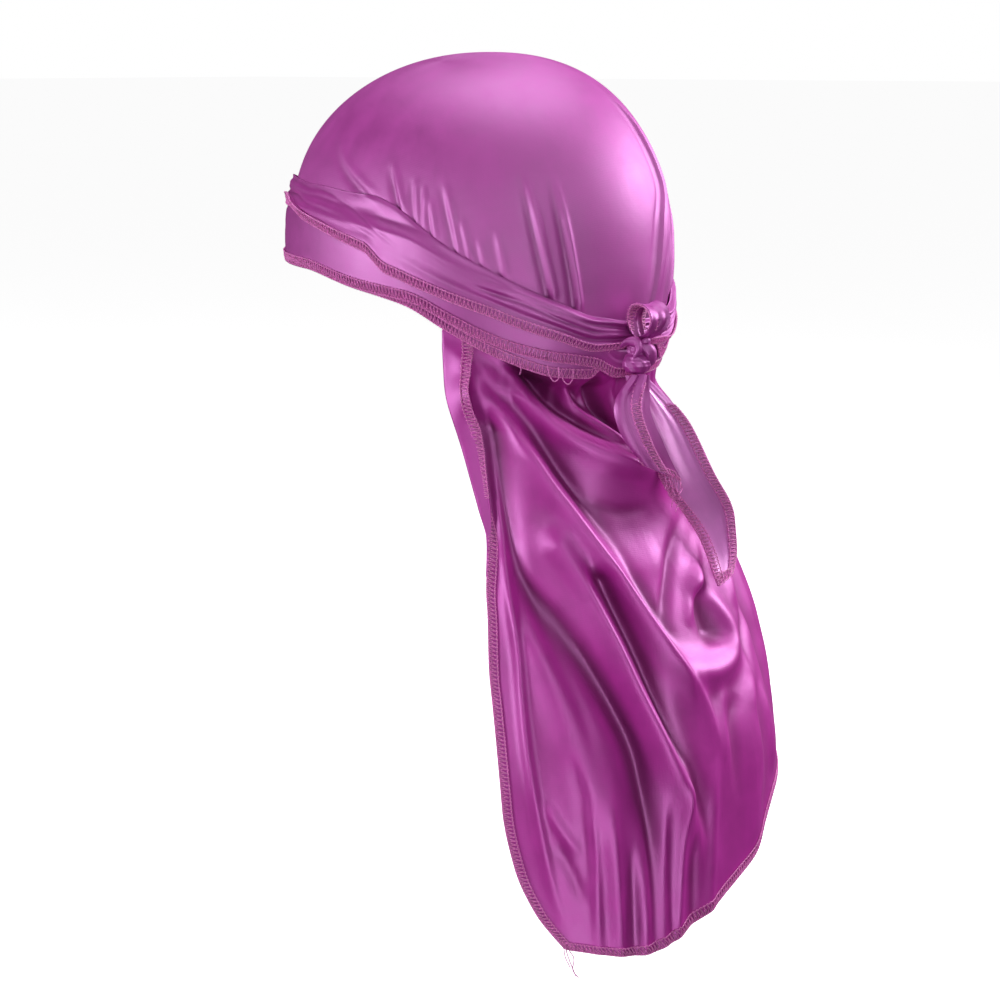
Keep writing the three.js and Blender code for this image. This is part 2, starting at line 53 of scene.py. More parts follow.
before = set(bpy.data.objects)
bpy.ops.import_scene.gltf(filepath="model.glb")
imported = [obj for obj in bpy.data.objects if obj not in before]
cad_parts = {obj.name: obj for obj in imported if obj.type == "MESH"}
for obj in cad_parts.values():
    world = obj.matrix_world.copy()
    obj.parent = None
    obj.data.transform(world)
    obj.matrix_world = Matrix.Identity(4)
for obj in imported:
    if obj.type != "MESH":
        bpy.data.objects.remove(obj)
CAD_LOW, CAD_HIGH = (list(corner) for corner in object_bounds())

# The durag's own sizes in millimetres, as in the part's source. Angles are in degrees round the
# head, from the middle of the back towards the wearer's left; levels are heights over the origin.
HALF_LENGTH = 97.0
HALF_WIDTH = 78.0
CROWN_HEIGHT = 120.0
WIDEST_LEVEL = 32.0
FULLNESS = 2.2
FOREHEAD_RISE = 23.0
NAPE_DROP = 24.0
CAPE_DROP = 272.0
CAPE_TUCK = 6.0
CAPE_HALF_ANGLE = 66.0
ROW_SPREAD = 1.35
FLARE_LENGTH = 42.0
FOLD_HEIGHT = 10.0
FOLD_WIDTH = 10.0
STRAP_WIDTH = 30.0
STRAP_WALL = 1.0
GAP = 0.3
KNOT_ANGLE = 8.0
KNOT_WIDTH = 14.0
KNOT_DEPTH = 12.0
KNOT_HEIGHT = 16.0
KNOT_TOP = -6.0
LOOP_WIDTH = 12.0
LOOP_HEIGHT = 16.0
LOOP_REACH = 17.0
MM_PER_DEGREE = math.radians(1) * HALF_LENGTH
# Columns and rows of the grids of points.
CROWN_GRID = 451, 141
CAPE_GRID = 297, 251
LAPEL_GRID = 22, 90
STRAP_GRID = 901, 45
END_GRID = 110, 24
# Shares of the cape's rows down to which its edge is turned outwards, and is stitched there.
TURNED_ROWS, TURNED_STITCHES = 0.52, 0.405

# Angle, rise of the rim: 1 over the forehead, -1 at the nape.
RIM = np.array([
    (0, -1.0), (20, -0.98), (32, -0.93), (41, -0.78), (54, -0.45),
    (65, -0.08), (78, 0.4), (96, 0.68), (116, 0.93), (180, 1.0),
])
# Share of the crown's height, angle of the centre seam at the back.
SEAM = np.array([
    (-0.2, 4), (0.1, -7), (0.38, -13), (0.52, -19), (0.72, -18), (0.86, -13), (1.0, -6),
])
# Share of the cape's drop, centre, back, left and right of its level section.
CAPE_SECTIONS = np.array([
    (-0.04, 0.0, 0.98, 0.985, 0.985),
    (0.07, 0.02, 0.95, 0.985, 0.985),
    (0.22, 0.145, 0.905, 0.985, 1.09),
    (0.385, 0.33, 0.845, 1.0, 1.265),
    (0.55, 0.485, 0.865, 1.04, 1.41),
    (0.755, 0.585, 0.895, 1.125, 1.47),
    (1.03, 0.6, 0.905, 1.125, 1.47),
])
# Share of the way down, reach to the left and to the right.
CAPE_SIDES = np.array([
    (0, 1.0, 1.0), (0.33, 0.97, 1.0), (0.46, 1.05, 1.06), (0.59, 1.11, 1.12),
    (0.78, 1.09, 1.12), (0.87, 1.04, 1.08), (0.94, 0.95, 1.02), (1.0, 0.82, 0.93),
])
# Angle, drop of the hem.
HEM = np.array([
    (-62, 0.78), (-31, 0.82), (-9, 0.915), (10, 0.97), (32, 1.015), (54, 1.0),
])
# Share of the cape's drop, width in degrees of the edge that is turned outwards on the left.
LAPEL = np.array([
    (-0.03, 8.0), (0.06, 8.0), (0.14, 7.2), (0.235, 5.0), (0.3, 2.6), (0.345, 0.7), (0.4, 0.4),
])

# Folds of the cape: line of (angle, drop), height, width to the wearer's right and to the left
# of the line (shares of the fold height and width).
MAIN_FOLDS = [
    ([(54, 0.04), (47, 0.075), (37, 0.14), (24, 0.19), (9, 0.227), (-14, 0.27)], 0.5, 0.75, 1.3),
    ([(46, 0.05), (34, 0.1), (20, 0.135), (6, 0.165)], -1.35, 1.1, 0.8),
    ([(56, 0.107), (47, 0.16), (41, 0.245), (28, 0.353), (18, 0.492), (6, 0.595), (-2, 0.74)],
     0.75, 0.6, 1.4),
    ([(49, 0.12), (39, 0.215), (28, 0.3), (12, 0.325), (-8, 0.31)], -0.3, 1.1, 1.0),
    ([(26, 0.38), (14, 0.39), (4, 0.37)], 0.1, 0.8, 0.7),
    ([(55, 0.17), (58, 0.3), (58, 0.395), (49, 0.484), (41, 0.556), (33, 0.645), (28, 0.79),
      (26, 0.92), (26, 1.02)], -0.6, 0.8, 1.0),
    ([(42, 0.35), (37, 0.412), (33, 0.489), (29, 0.568), (23, 0.653), (15, 0.758), (7, 0.88), (4, 0.98)],
     0.6, 0.8, 0.9),
    ([(31, 0.41), (26, 0.519), (18, 0.666), (11, 0.768), (8, 0.86), (7, 0.96)], -0.45, 0.6, 0.6),
    ([(-6, 0.433), (-14, 0.505), (-12, 0.555), (-3, 0.57), (8, 0.55), (13, 0.5)], 0.5, 0.7, 0.7),
    ([(-7, 0.46), (-7, 0.54)], -0.6, 0.8, 0.7),
    ([(-20, 0.6), (-14, 0.66), (-14, 0.8), (-12, 1.0)], 0.3, 0.8, 0.9),
    ([(61, 0.38), (56, 0.52), (51, 0.63), (45, 0.74), (41, 0.86), (40, 0.98)], 0.34, 1.0, 1.0),
    ([(-40, 0.16), (-52, 0.4), (-57, 0.6), (-58, 0.8)], 0.5, 0.9, 0.8),
    ([(-28, 0.2), (-36, 0.36), (-39, 0.55), (-40, 0.75)], -0.35, 0.8, 0.8),
]
# Finer folds and creases between the main ones.
FINE_FOLDS = [
    ([(28, 0.07), (26, 0.107), (19, 0.148), (9, 0.191), (2, 0.22)], 0.7, 0.25, 0.6),
    ([(22, 0.05), (13, 0.115), (7, 0.175), (-4, 0.21)], -1.0, 0.5, 0.4),
    ([(56, 0.03), (51, 0.051), (41, 0.108), (31, 0.168), (17, 0.208), (-2, 0.252), (-14, 0.27)],
     0.55, 0.3, 0.7),
    ([(52, 0.03), (41, 0.082), (31, 0.138), (18, 0.178), (4, 0.215)], -0.9, 0.42, 0.3),
    ([(58, 0.045), (52, 0.085), (46, 0.125)], 0.16, 0.3, 0.3),
    ([(56, 0.035), (50, 0.066), (43, 0.11)], -0.16, 0.25, 0.25),
    ([(59, 0.08), (54, 0.1), (44, 0.2), (35, 0.295), (23, 0.43), (13, 0.542), (3, 0.634), (-1, 0.74)],
     0.34, 0.24, 0.7),
    ([(51, 0.08), (44, 0.16), (38, 0.23), (27, 0.34), (18, 0.455), (9, 0.56), (5, 0.66)],
     -0.4, 0.55, 0.3),
    ([(42, 0.35), (37, 0.412), (33, 0.489), (29, 0.568), (23, 0.653), (15, 0.758), (7, 0.88)],
     0.26, 0.24, 0.55),
    ([(37, 0.36), (32, 0.42), (27, 0.52), (19, 0.65), (11, 0.77)], -0.3, 0.35, 0.25),
    ([(46, 0.5), (37, 0.6), (31, 0.675), (29, 0.75), (27, 0.88)], -0.3, 0.3, 0.6),
    ([(30, 0.28), (17, 0.305), (4, 0.3)], -0.12, 0.35, 0.35),
    ([(54, 0.05), (56, 0.167), (58.6, 0.311), (61, 0.438), (63.5, 0.594), (62.5, 0.72), (58, 0.88),
      (52, 1.0)], 0.3, 0.22, 0.36),
    ([(55, 0.3), (56, 0.42), (52, 0.52), (46, 0.62), (43, 0.72)], -0.12, 0.4, 0.3),
    ([(52, 0.66), (48, 0.76), (46, 0.9)], -0.12, 0.3, 0.4),
    ([(47, 0.74), (45, 0.86), (44, 1.05)], 0.14, 0.24, 0.3),
    ([(40, 0.7), (38.5, 0.88), (37, 1.06)], 0.22, 0.22, 0.5),
    ([(35, 0.82), (33.5, 0.94), (33, 1.06)], -0.14, 0.3, 0.3),
    ([(31.5, 0.76), (30, 0.9), (30, 1.06)], 0.24, 0.26, 0.5),
    ([(23, 0.74), (24, 0.9), (24, 1.06)], 0.2, 0.26, 0.42),
    ([(14, 0.68), (17, 0.8), (19, 0.95), (20, 1.06)], 0.22, 0.28, 0.3),
    ([(11, 0.72), (13.5, 0.88), (14, 1.06)], -0.16, 0.35, 0.35),
    ([(2, 0.7), (6, 0.86), (8, 1.06)], 0.16, 0.35, 0.4),
    ([(-16, 0.36), (-4, 0.44), (3, 0.5)], 0.2, 0.45, 0.4),
    ([(-12, 0.31), (1, 0.39), (9, 0.45), (14, 0.5)], -0.28, 0.35, 0.45),
    ([(-7, 0.6), (-3, 0.643), (-3, 0.76)], 0.12, 0.35, 0.35),
    ([(-11, 0.62), (-6, 0.67), (-6, 0.8)], -0.12, 0.35, 0.35),
    ([(-19, 0.6), (-17, 0.674), (-19, 0.82)], 0.12, 0.4, 0.4),
    ([(-34, 0.43), (-33, 0.5), (-25, 0.547), (-22, 0.62)], -0.25, 0.5, 0.5),
    ([(-22, 0.3), (-27, 0.42), (-24, 0.5)], 0.25, 0.5, 0.5),
    ([(-46, 0.3), (-47, 0.5), (-49, 0.74)], 0.2, 0.5, 0.5),
    ([(-64, 0.42), (-66, 0.6), (-64, 0.74)], -0.2, 0.5, 0.6),
    ([(-10, 0.28), (-18, 0.36), (-16, 0.44)], 0.16, 0.4, 0.4),
    ([(-28, 0.62), (-30, 0.8)], 0.18, 0.45, 0.45),
    ([(60, 0.749), (55, 0.797), (49, 0.846)], 0.12, 0.3, 0.3),
    ([(57, 0.82), (52, 0.87), (48, 0.93)], -0.1, 0.3, 0.35),
]
# Tucks of the crown: line of (angle, level), height of the ridge and of the valley on its left
# in millimetres, width in millimetres.
CROWN_TUCKS = [
    ([(116, 88), (103, 72), (93, 62), (84, 53), (73, 42)], 0.6, -1.4, 1.61),
    ([(83, 72), (80, 60), (77, 47)], 1.1, -1.5, 1.25),
    ([(75, 66), (73, 44)], 0.7, -0.9, 1.08),
    ([(72, 63), (71, 41)], 0.9, -1.1, 1.08),
    ([(70, 57), (68, 39)], 0.8, -1.1, 1.08),
    ([(66, 65), (63, 47), (61, 33)], 1.2, -1.3, 1.25),
    ([(61, 49), (58, 30)], 0.9, -1.0, 1.25),
    ([(51, 45), (48, 22)], 0.8, -0.9, 1.52),
    ([(42, 70), (38, 39), (33, 8)], 1.7, -1.7, 1.43),
    ([(33, 68), (29, 35), (25, 5)], 1.7, -1.7, 1.43),
    ([(56, 40), (53, 22)], 0.7, -0.8, 1.25),
    ([(-40, 62), (-36, 36), (-31, 10)], 1.5, -1.3, 1.79),
    ([(-52, 50), (-46, 22)], 1.0, -1.0, 1.52),
    ([(-64, 62), (-60, 34)], 1.0, -1.1, 1.52),
    ([(-74, 66), (-71, 42)], 1.0, -1.1, 1.43),
    ([(-92, 70), (-84, 55), (-77, 44)], 0.8, -1.0, 1.61),
    ([(-24, 40), (-20, 8)], 1.0, -0.9, 1.79),
]
# Path of a strap: minus the angle it has gone, height of its lower edge over the rim, width,
# layer. Height and width are shares of the strap's width.
FIRST_PASS = [(-100, 0.0, 0.86, 1), (-66, 0.0, 0.8, 1), (-20, 0.0, 0.7, 1)]
SECOND_PASS = [
    (20, 0.18, 0.6, 2), (32, 0.23, 0.73, 2), (48, 0.18, 0.87, 2), (70, 0.14, 0.93, 2),
    (82, 0.05, 0.97, 2), (95, 0.02, 0.97, 2), (130, 0.02, 0.93, 2), (148, 0.03, 0.79, 2),
]
THIRD_PASS = [
    (212, 0.92, 0.42, 3), (230, 0.92, 0.4, 3), (247, 0.73, 0.57, 3), (261, 0.68, 0.7, 3),
    (271, 0.62, 0.83, 3), (278, 0.4, 1.02, 3), (284, 0.38, 0.95, 3), (294, 0.47, 0.78, 3),
    (310, 0.58, 0.64, 3), (325, 0.57, 0.57, 3), (340, 0.42, 0.51, 3), (351, 0.45, 0.4, 3),
]
NAPE_CROSSING = {
    "left": [(-9, 0.49, 0.37, 1), (9, 0.49, 0.37, 2)],
    "right": [(-9, 0.0, 0.42, 1), (9, 0.0, 0.42, 2)],
}
FOREHEAD_CROSSING = {
    "left": [(163, 0.13, 0.62, 3), (180, 0.43, 0.67, 3), (197, 0.75, 0.5, 3)],
    "right": [(163, 0.15, 0.75, 2), (180, 0.43, 0.67, 2), (197, 0.81, 0.43, 2)],
}
# Creases along the outer turn of a strap: line of (angle, level), height, width in millimetres.
STRAP_CREASES = [
    ([(60, 19.5), (44, 11.5), (29, 1.5), (16, -4.5)], -1.0, 1.1),
    ([(57, 21), (40, 13), (26, 4), (14, 0.5)], 0.8, 1.3),
    ([(52, 15), (36, 5), (22, -4.5)], 0.45, 1.6),
    ([(128, 62.7), (104, 55.9), (88, 44.2), (76, 31.3)], -0.3, 0.9),
    ([(105, 66), (95, 60), (86, 53)], 0.35, 1.3),
    ([(112, 51), (96, 45), (84, 37)], -0.22, 1.2),
    ([(78, 42), (66, 31), (52, 20)], 0.3, 1.4),
    ([(75, 33), (62, 22), (46, 9)], 0.2, 1.2),
]
# Outline of the knot from its foot to its top: rise, radius.
KNOT_OUTLINE = np.array([
    (0, 0), (0.06, 0.55), (0.18, 0.88), (0.34, 1.0), (0.5, 0.86), (0.62, 0.66), (0.76, 0.7),
    (0.9, 0.5), (1, 0),
])
# Wraps round the knot: line of (along the straps, out of the head, over the knot's top), greatest
# radius, power of its swelling, flatness, columns, points round, grooves, roll in radians.
KNOT_WRAPS = [
    ([(2.5, 9.0, -2.2), (-2.0, 11.6, -4.5), (-4.6, 10.2, -9.0), (-4.4, 6.0, -13.5)],
     3.4, 0.5, 0.6, 44, 30, 5, 1.6),
    ([(7.2, 2.5, -3.5), (6.0, 6.5, -0.6), (3.4, 9.6, -0.8), (3.0, 10.4, -4.0), (4.8, 8.8, -8.0)],
     2.3, 0.45, 0.7, 48, 26, 4, 3.0),
    ([(1.8, 9.5, -1.2), (-0.6, 11.4, -0.4), (-3.4, 9.0, -1.8), (-6.0, 5.0, -4.0)],
     1.9, 0.5, 0.8, 36, 22, 4, 2.0),
]
# Line of the loop: shares of its reach and of its height.
LOOP_LINE = [
    (0.12, 0.22), (0.04, 0.55), (0.2, 0.9), (0.5, 1.0), (0.85, 0.88), (1.0, 0.58), (0.82, 0.24),
]
# Loose ends: share of the length, angle, stand off the cape, width, turn.
SHORT_END = np.array([
    (0.0, 11, 0.9, 0.55, 25), (0.28, 12.5, 0.95, 0.95, 35), (0.6, 10.5, 0.95, 1.05, 35),
    (0.9, 5, 0.9, 0.85, 30),
])
LONG_END = np.array([
    (0.0, 7, 0.75, 0.45, 34), (0.22, 1, 0.95, 1.2, 34), (0.48, -5, 1.0, 1.35, 30),
    (0.7, -13, 1.0, 1.0, 20), (0.88, -15, 0.85, 0.75, 12), (1.0, -13, 0.75, 0.5, 8),
])
# Loose ends: rows, length, width, place of the foot as a share of the knot's depth, slant of the
# cut in millimetres to each side.
ENDS = {"short": (SHORT_END, 48.0, 17.0, 0.62, 5.0), "long": (LONG_END, 96.0, 20.0, 0.38, -2.0)}

# Loose threads: line of (angle, level, distance off the cape), radius in millimetres.
LOOSE_THREADS = [
    ([(36, -16, 3.5), (35.2, -21, 3), (34, -23.5, 3), (32.8, -22.5, 3.5), (32.6, -17, 3.5)], 0.3),
    ([(31.7, -18, 3.5), (31.2, -23, 3), (29.6, -25, 3), (28.4, -23, 3.5), (28, -18, 3.5)], 0.3),
    ([(44, -15, 3), (43.6, -18, 2.5), (43.9, -20.5, 2)], 0.25),
    ([(54, -271, 1), (53, -276, 1.5), (52.4, -279, 0.5), (51, -284, 2)], 0.22),
    ([(53, -272, 1), (51.6, -276, 0.5), (51.9, -281, 2), (50.2, -285, 1)], 0.22),
    ([(54.5, -270, 1), (54, -275, 2), (52.6, -280, 2)], 0.2),
]
# Frayed threads of the short end: place along its edge, length, sway in millimetres.
FRAYED_ENDS = [
    (1, 7, 1.2), (3, 11, -1.6), (5, 14, 1.0), (6, 9, -1.0), (8, 15, 2.2), (9, 10, -1.4), (10, 6, 1.6),
]


def linear(hex_colour):
    """Linear colour of an sRGB hex value."""
    parts = [int(hex_colour[k:k + 2], 16) / 255 for k in (1, 3, 5)]
    return [c / 12.92 if c <= 0.04045 else ((c + 0.055) / 1.055) ** 2.4 for c in parts]


def number(name, description, default, **kind):
    return FloatProperty(name=name, description=description, default=default, **kind)


def length(name, description, default):
    return number(name, description, default, unit="LENGTH")


def power(name, description, default):
    return number(name, description, default, unit="POWER")


def colour(name, description, hex_colour):
    return FloatVectorProperty(
        name=name, description=description, default=linear(hex_colour), subtype="COLOR", size=3,
        min=0, max=1,
    )


class DuragClothSettings(PropertyGroup):
    thickness: length("Cloth thickness", "Thickness of the satin", 0.0005)
    fold_depth: number("Fold depth", "Strength of the fine folds", 1.0, subtype="FACTOR")
    gather: length("Gathers", "Height of the gathers under the straps", 0.0005)
    satin: colour("Stretched satin", "Colour of the crown", "#A01F8A")
    # A lighter copy of the crown's satin: the lift is painted light for the cape, which the lamps reach
    # less.
    hanging_satin_painted_light: colour("Hanging satin", "Colour of the cape", "#AE2092")
    strap_satin: colour("Strap satin", "Colour of straps, knot and ends", "#9A1E84")
    # A paler copy of the strap satin: the paleness is painted light for the light through the long end's
    # single layer and the sheen on it.
    sheer_satin_painted_light: colour("Single satin", "Colour of the long end's single layer", "#DC78D0")
    thread: colour("Thread", "Colour of the overlock thread", "#EC74C6")


class DuragStitchSettings(PropertyGroup):
    pitch: length("Stitch pitch", "Length of one overlock stitch", 0.0018)
    band: length("Band width", "Width of the overlocked edge", 0.0044)
    thread: length("Thread diameter", "Diameter of the thread", 0.00056)
    sides: IntProperty(
        name="Thread sides", description="Sides of a thread's section", default=5, min=3, max=8,
    )


class DuragStudioSettings(PropertyGroup):
    lens: number("Lens", "Focal length in millimetres", 93.487)
    floor: colour("Floor", "Colour of the floor", "#F6F4F6")
    ambient: number("Ambient light", "Light of the room", 0.07)
    key: power("Key light", "Power of the right softbox", 16.0)
    side: power("Side light", "Power of the left softbox", 10.0)
    top: power("Top light", "Power of the overhead softbox", 13.0)
    front: power("Front light", "Power of the front softbox", 6.0)
    low: power("Low light", "Power of the low softbox", 5.0)


def follow(table, place, column):
    """Value of a column at each place: cubic pieces between the table's rows, whose slope at a row
    is the harmonic mean of the slopes on both sides, and level where these differ in sign."""
    at, value = table[:, 0], table[:, column]
    steep = np.diff(value) / np.diff(at)
    before, after = steep[:-1], steep[1:]
    same = before * after > 0
    middle = np.where(same, 2 * before * after / np.where(same, before + after, 1), 0)
    slope = np.concatenate([steep[:1], middle, steep[-1:]])
    place = np.clip(place, at[0], at[-1])
    k = np.clip(np.searchsorted(at, place, side="right") - 1, 0, len(at) - 2)
    span = at[k + 1] - at[k]
    t = (place - at[k]) / span
    start = value[k] * (2 * t**3 - 3 * t**2 + 1) + slope[k] * span * (t**3 - 2 * t**2 + t)
    end = value[k + 1] * (3 * t**2 - 2 * t**3) + slope[k + 1] * span * (t**3 - t**2)
    return start + end


def smooth(x, low, high):
    """0 below low, 1 above high, and 3t^2 - 2t^3 between."""
    t = np.clip((x - low) / (high - low), 0, 1)
    return t * t * (3 - 2 * t)


def blend(a, b, t):
    return a + (b - a) * t


def unit(vectors):
    return vectors / np.maximum(np.linalg.norm(vectors, axis=-1, keepdims=True), 1e-9)


def shares(columns, rows):
    """Shares across and along of each point of a grid, from 0 to 1."""
    return np.meshgrid(np.linspace(0, 1, columns), np.linspace(0, 1, rows), indexing="ij")


def head_point(angle, level, out, inset=0.0):
    """Point of the head's form, moved out level: an ellipse of the head's half length and half
    width, scaled by a superellipse above the widest level and by a soft taper below it."""
    rise = np.clip((level - WIDEST_LEVEL) / (CROWN_HEIGHT - inset - WIDEST_LEVEL), 0, 1)
    upper = (1 - rise**FULLNESS) ** (1 / FULLNESS)
    lower = 1 - 0.1 * np.clip((27 - level) / 60, 0, 2) ** 1.6
    scale = np.where(level > WIDEST_LEVEL, upper, lower)
    lean = 7 * (np.maximum(0, level - 70) / 50) ** 2
    turn = np.radians(angle)
    x = ((HALF_WIDTH - inset) * scale + out) * np.sin(turn)
    y = ((HALF_LENGTH - inset) * scale + out) * np.cos(turn) + lean
    return np.stack([x, y, level + 0 * x], -1)


def rim_level(angle):
    rise = follow(RIM, np.abs((angle % 360 + 540) % 360 - 180), 1)
    return rise * np.where(rise > 0, FOREHEAD_RISE, NAPE_DROP)


def cape_section(angle, level, out):
    """Point of the cape's level section: half ellipses to the left and right of a centre that
    moves back with the drop."""
    drop = -level / CAPE_DROP
    centre, back = (follow(CAPE_SECTIONS, drop, k) * HALF_LENGTH for k in (1, 2))
    left, right = (follow(CAPE_SECTIONS, drop, k) * HALF_WIDTH for k in (3, 4))
    turn = np.radians(angle)
    x = (np.where(angle > 0, left, right) + out) * np.sin(turn)
    y = centre + (back + out) * np.cos(turn)
    return np.stack([x, y, level + 0 * x], -1)


def spline(points, count):
    """Smooth line through points: a uniform cardinal spline with half the chord as its slope."""
    points = np.asarray(points, float)
    last = len(points) - 1
    t = np.linspace(0, last, count)
    k = np.clip(t.astype(int), 0, last - 1)
    w = (t - k)[:, None]
    p0, p1 = points[np.maximum(k - 1, 0)], points[k]
    p2, p3 = points[k + 1], points[np.minimum(k + 2, last)]
    a, b = (p2 - p0) / 2, (p3 - p1) / 2
    return (2 * p1 - 2 * p2 + a + b) * w**3 + (3 * p2 - 3 * p1 - 2 * a - b) * w**2 + a * w + p1


def off_line(x, y, line):
    """Distance of each place from a line on flat cloth, the side that it lies on (its distance to
    the left of the line's way, over its distance from the line and 0.4 mm), and its share of the
    way along."""
    nearest, side, along = np.full(x.shape, 1e9), np.zeros(x.shape), np.zeros(x.shape)
    steps = len(line) - 1
    for k in range(steps):
        (ax, ay), (bx, by) = line[k], line[k + 1]
        dx, dy = bx - ax, by - ay
        share = np.clip(((x - ax) * dx + (y - ay) * dy) / (dx * dx + dy * dy), 0, 1)
        gx, gy = x - ax - share * dx, y - ay - share * dy
        gap = np.hypot(gx, gy)
        aside = (dx * (y - ay) - dy * (x - ax)) / math.hypot(dx, dy)
        closer = gap < nearest
        nearest = np.where(closer, gap, nearest)
        side = np.where(closer, aside / (gap + 0.4), side)
        along = np.where(closer, (k + share) / steps, along)
    return nearest, side, along


def cape_folds(angle, drop, fine):
    """Height of the cape's folds: each is exp(-(distance/width)^2) times its height, with a
    width of its own on each side of its line. Each fades out at its lower end, a fine one at both."""
    x, y = -angle * MM_PER_DEGREE, drop * CAPE_DROP
    height = np.zeros(np.broadcast(x, y).shape)
    x, y = np.broadcast_to(x, height.shape), np.broadcast_to(y, height.shape)
    for k, (line, tall, right, left) in enumerate(MAIN_FOLDS + FINE_FOLDS):
        flat = np.array([(-a * MM_PER_DEGREE, d * CAPE_DROP) for a, d in line])
        reach = 2.6 * max(right, left) * FOLD_WIDTH
        low, high = flat.min(axis=0) - reach, flat.max(axis=0) + reach
        near = (x > low[0]) & (x < high[0]) & (y > low[1]) & (y < high[1])
        gap, side, along = off_line(x[near], y[near], spline(flat, 8 * (len(flat) - 1) + 1))
        width = blend(right, left, (1 + side) / 2) * FOLD_WIDTH
        bump = tall * FOLD_HEIGHT * np.exp(-((gap / width) ** 2))
        if k >= len(MAIN_FOLDS):
            bump = bump * fine * smooth(along, 0, 0.35)
        bump = bump * smooth(1 - along, 0, 0.35)
        height[near] += bump
    return height


def gathers(angle, below, tall):
    """Small upright gathers of the cape where it comes out under the straps: two sines of the
    angle, fading out down the cloth and towards the sides."""
    wave = np.sin(np.radians(angle * 62)) + 0.6 * np.sin(np.radians(angle * 97 + 40))
    spread = np.exp(-((np.clip(below, 0, None) / 13) ** 2)) * smooth(below, -1, 4)
    return tall * wave * spread * smooth(54 - np.abs(angle), 0, 12)


def cape_grid(u, v, out, cloth):
    """Points of the cape at shares across (0 at the wearer's right) and down."""
    down = v**ROW_SPREAD
    low = -CAPE_HALF_ANGLE * follow(CAPE_SIDES, down, 2)
    high = CAPE_HALF_ANGLE * follow(CAPE_SIDES, down, 1)
    angle = blend(low, high, u)
    top = rim_level(angle) + CAPE_TUCK
    level = blend(top, -CAPE_DROP * follow(HEM, angle, 1), down)
    return cape_place(angle, level, out, cloth), angle, level


def cape_place(angle, level, out, cloth):
    """Point of the cape's outer face at an angle and level, moved out by a distance."""
    below = rim_level(angle) - level
    fold = cape_folds(angle, -level / CAPE_DROP, cloth.fold_depth)
    fold = fold * np.where(fold > 0, smooth(below, 0, 14), smooth(below, -1, 6))
    fold = fold + gathers(angle, below, cloth.gather * 1000)
    flare = smooth(below, -GAP, FLARE_LENGTH)[..., None]
    return blend(head_point(angle, level, fold + out), cape_section(angle, level, fold + out), flare)


def normals(points):
    """Unit normal of a grid of points: cross product of its two central differences."""
    return unit(np.cross(np.gradient(points, axis=0), np.gradient(points, axis=1)))


def shell(points, thickness, outward, flat, turn_up=None, coarse=1):
    """Closed thin wall from a grid of points on its outer face: the inner face lies a thickness
    behind it along the normals, on every coarse-th line of the grid. flat is the cloth's own place
    of each point, in metres. Returns the points in metres, groups of faces and the places."""
    n = normals(points) * outward
    if turn_up is not None:
        n[:, -1] = turn_up
    inner = (points - n * thickness)[::coarse, ::coarse]
    far = np.arange(points.shape[0] * points.shape[1]).reshape(points.shape[:2])
    near = far.size + np.arange(inner.shape[0] * inner.shape[1]).reshape(inner.shape[:2])

    def quads(index):
        return np.stack([index[:-1, :-1], index[1:, :-1], index[1:, 1:], index[:-1, 1:]], -1).reshape(-1, 4)

    def around(index):
        return np.concatenate([index[:, 0], index[-1, 1:], index[-2::-1, -1], index[0, -2:0:-1]])

    outer_rim, inner_rim = around(far), around(near)
    steps = [np.roll(outer_rim, -k)[::coarse] for k in range(coarse, -1, -1)]
    groups = [quads(far), quads(near)[:, ::-1], np.stack([*steps, inner_rim, np.roll(inner_rim, -1)], -1)]
    if outward < 0:
        groups = [group[:, ::-1] for group in groups]
    both = np.concatenate([points.reshape(-1, 3), inner.reshape(-1, 3)]) * 0.001
    kinds = flat.shape[-1]
    flat = np.concatenate([flat.reshape(-1, kinds), flat[::coarse, ::coarse].reshape(-1, kinds)])
    return both, groups, flat


def with_painted_shade(flat, height, depth, spread):
    """Adds to the cloth's places how far each lies in a hollow (0 to 1): its height under the mean
    height round it, over a depth. The mean is spread by averaging neighbours again and again. The
    materials darken the colour by this share, as painted shade in the folds."""
    mean = height.copy()
    for _ in range(spread):
        mean[1:-1] = (mean[:-2] + mean[1:-1] + mean[2:]) / 3
        mean[:, 1:-1] = (mean[:, :-2] + mean[:, 1:-1] + mean[:, 2:]) / 3
    return np.concatenate([flat, np.clip((mean - height) / depth, 0, 1)[..., None]], -1)


def make_piece(name, parts, material, nodes):
    """One object from several closed parts, with smooth faces, sharp rims and the cloth's own
    places as its UV map."""
    points, groups, flats, start = [], [], [], 0
    for part_points, part_groups, part_flat in parts:
        points.append(part_points)
        groups += [group + start for group in part_groups]
        flats.append(np.pad(part_flat, ((0, 0), (0, 3 - part_flat.shape[1]))))
        start += len(part_points)
    mesh = bpy.data.meshes.new(name)
    mesh.from_pydata(np.concatenate(points), [], [face for group in groups for face in group.tolist()])
    corners = np.concatenate([group.reshape(-1) for group in groups])
    places = np.concatenate(flats).astype(np.float32)
    uv = mesh.uv_layers.new(name="cloth")
    uv.data.foreach_set("uv", places[corners, :2].reshape(-1))
    # The cloth's third place, how far each point lies in a hollow, is stored as the mask of the painted
    # shade.
    hollow = mesh.attributes.new("hollow", "FLOAT", "POINT")
    hollow.data.foreach_set("value", places[:, 2])
    close_poles(mesh)
    mesh.polygons.foreach_set("use_smooth", np.ones(len(mesh.polygons), bool))
    mesh.set_sharp_from_angle(angle=math.radians(50))
    mesh.materials.append(material)
    mesh.update()
    obj = bpy.data.objects.new(name, mesh)
    bpy.context.scene.collection.objects.link(obj)
    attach(obj, "root")
    if nodes:
        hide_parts(*nodes)
    return obj


def close_poles(mesh):
    """Merges the corners that fall together at a pole, and drops the faces with no area there."""
    work = bmesh.new()
    work.from_mesh(mesh)
    bmesh.ops.remove_doubles(work, verts=work.verts, dist=2e-6)
    bmesh.ops.dissolve_degenerate(work, edges=work.edges, dist=1e-7)
    work.to_mesh(mesh)
    work.free()


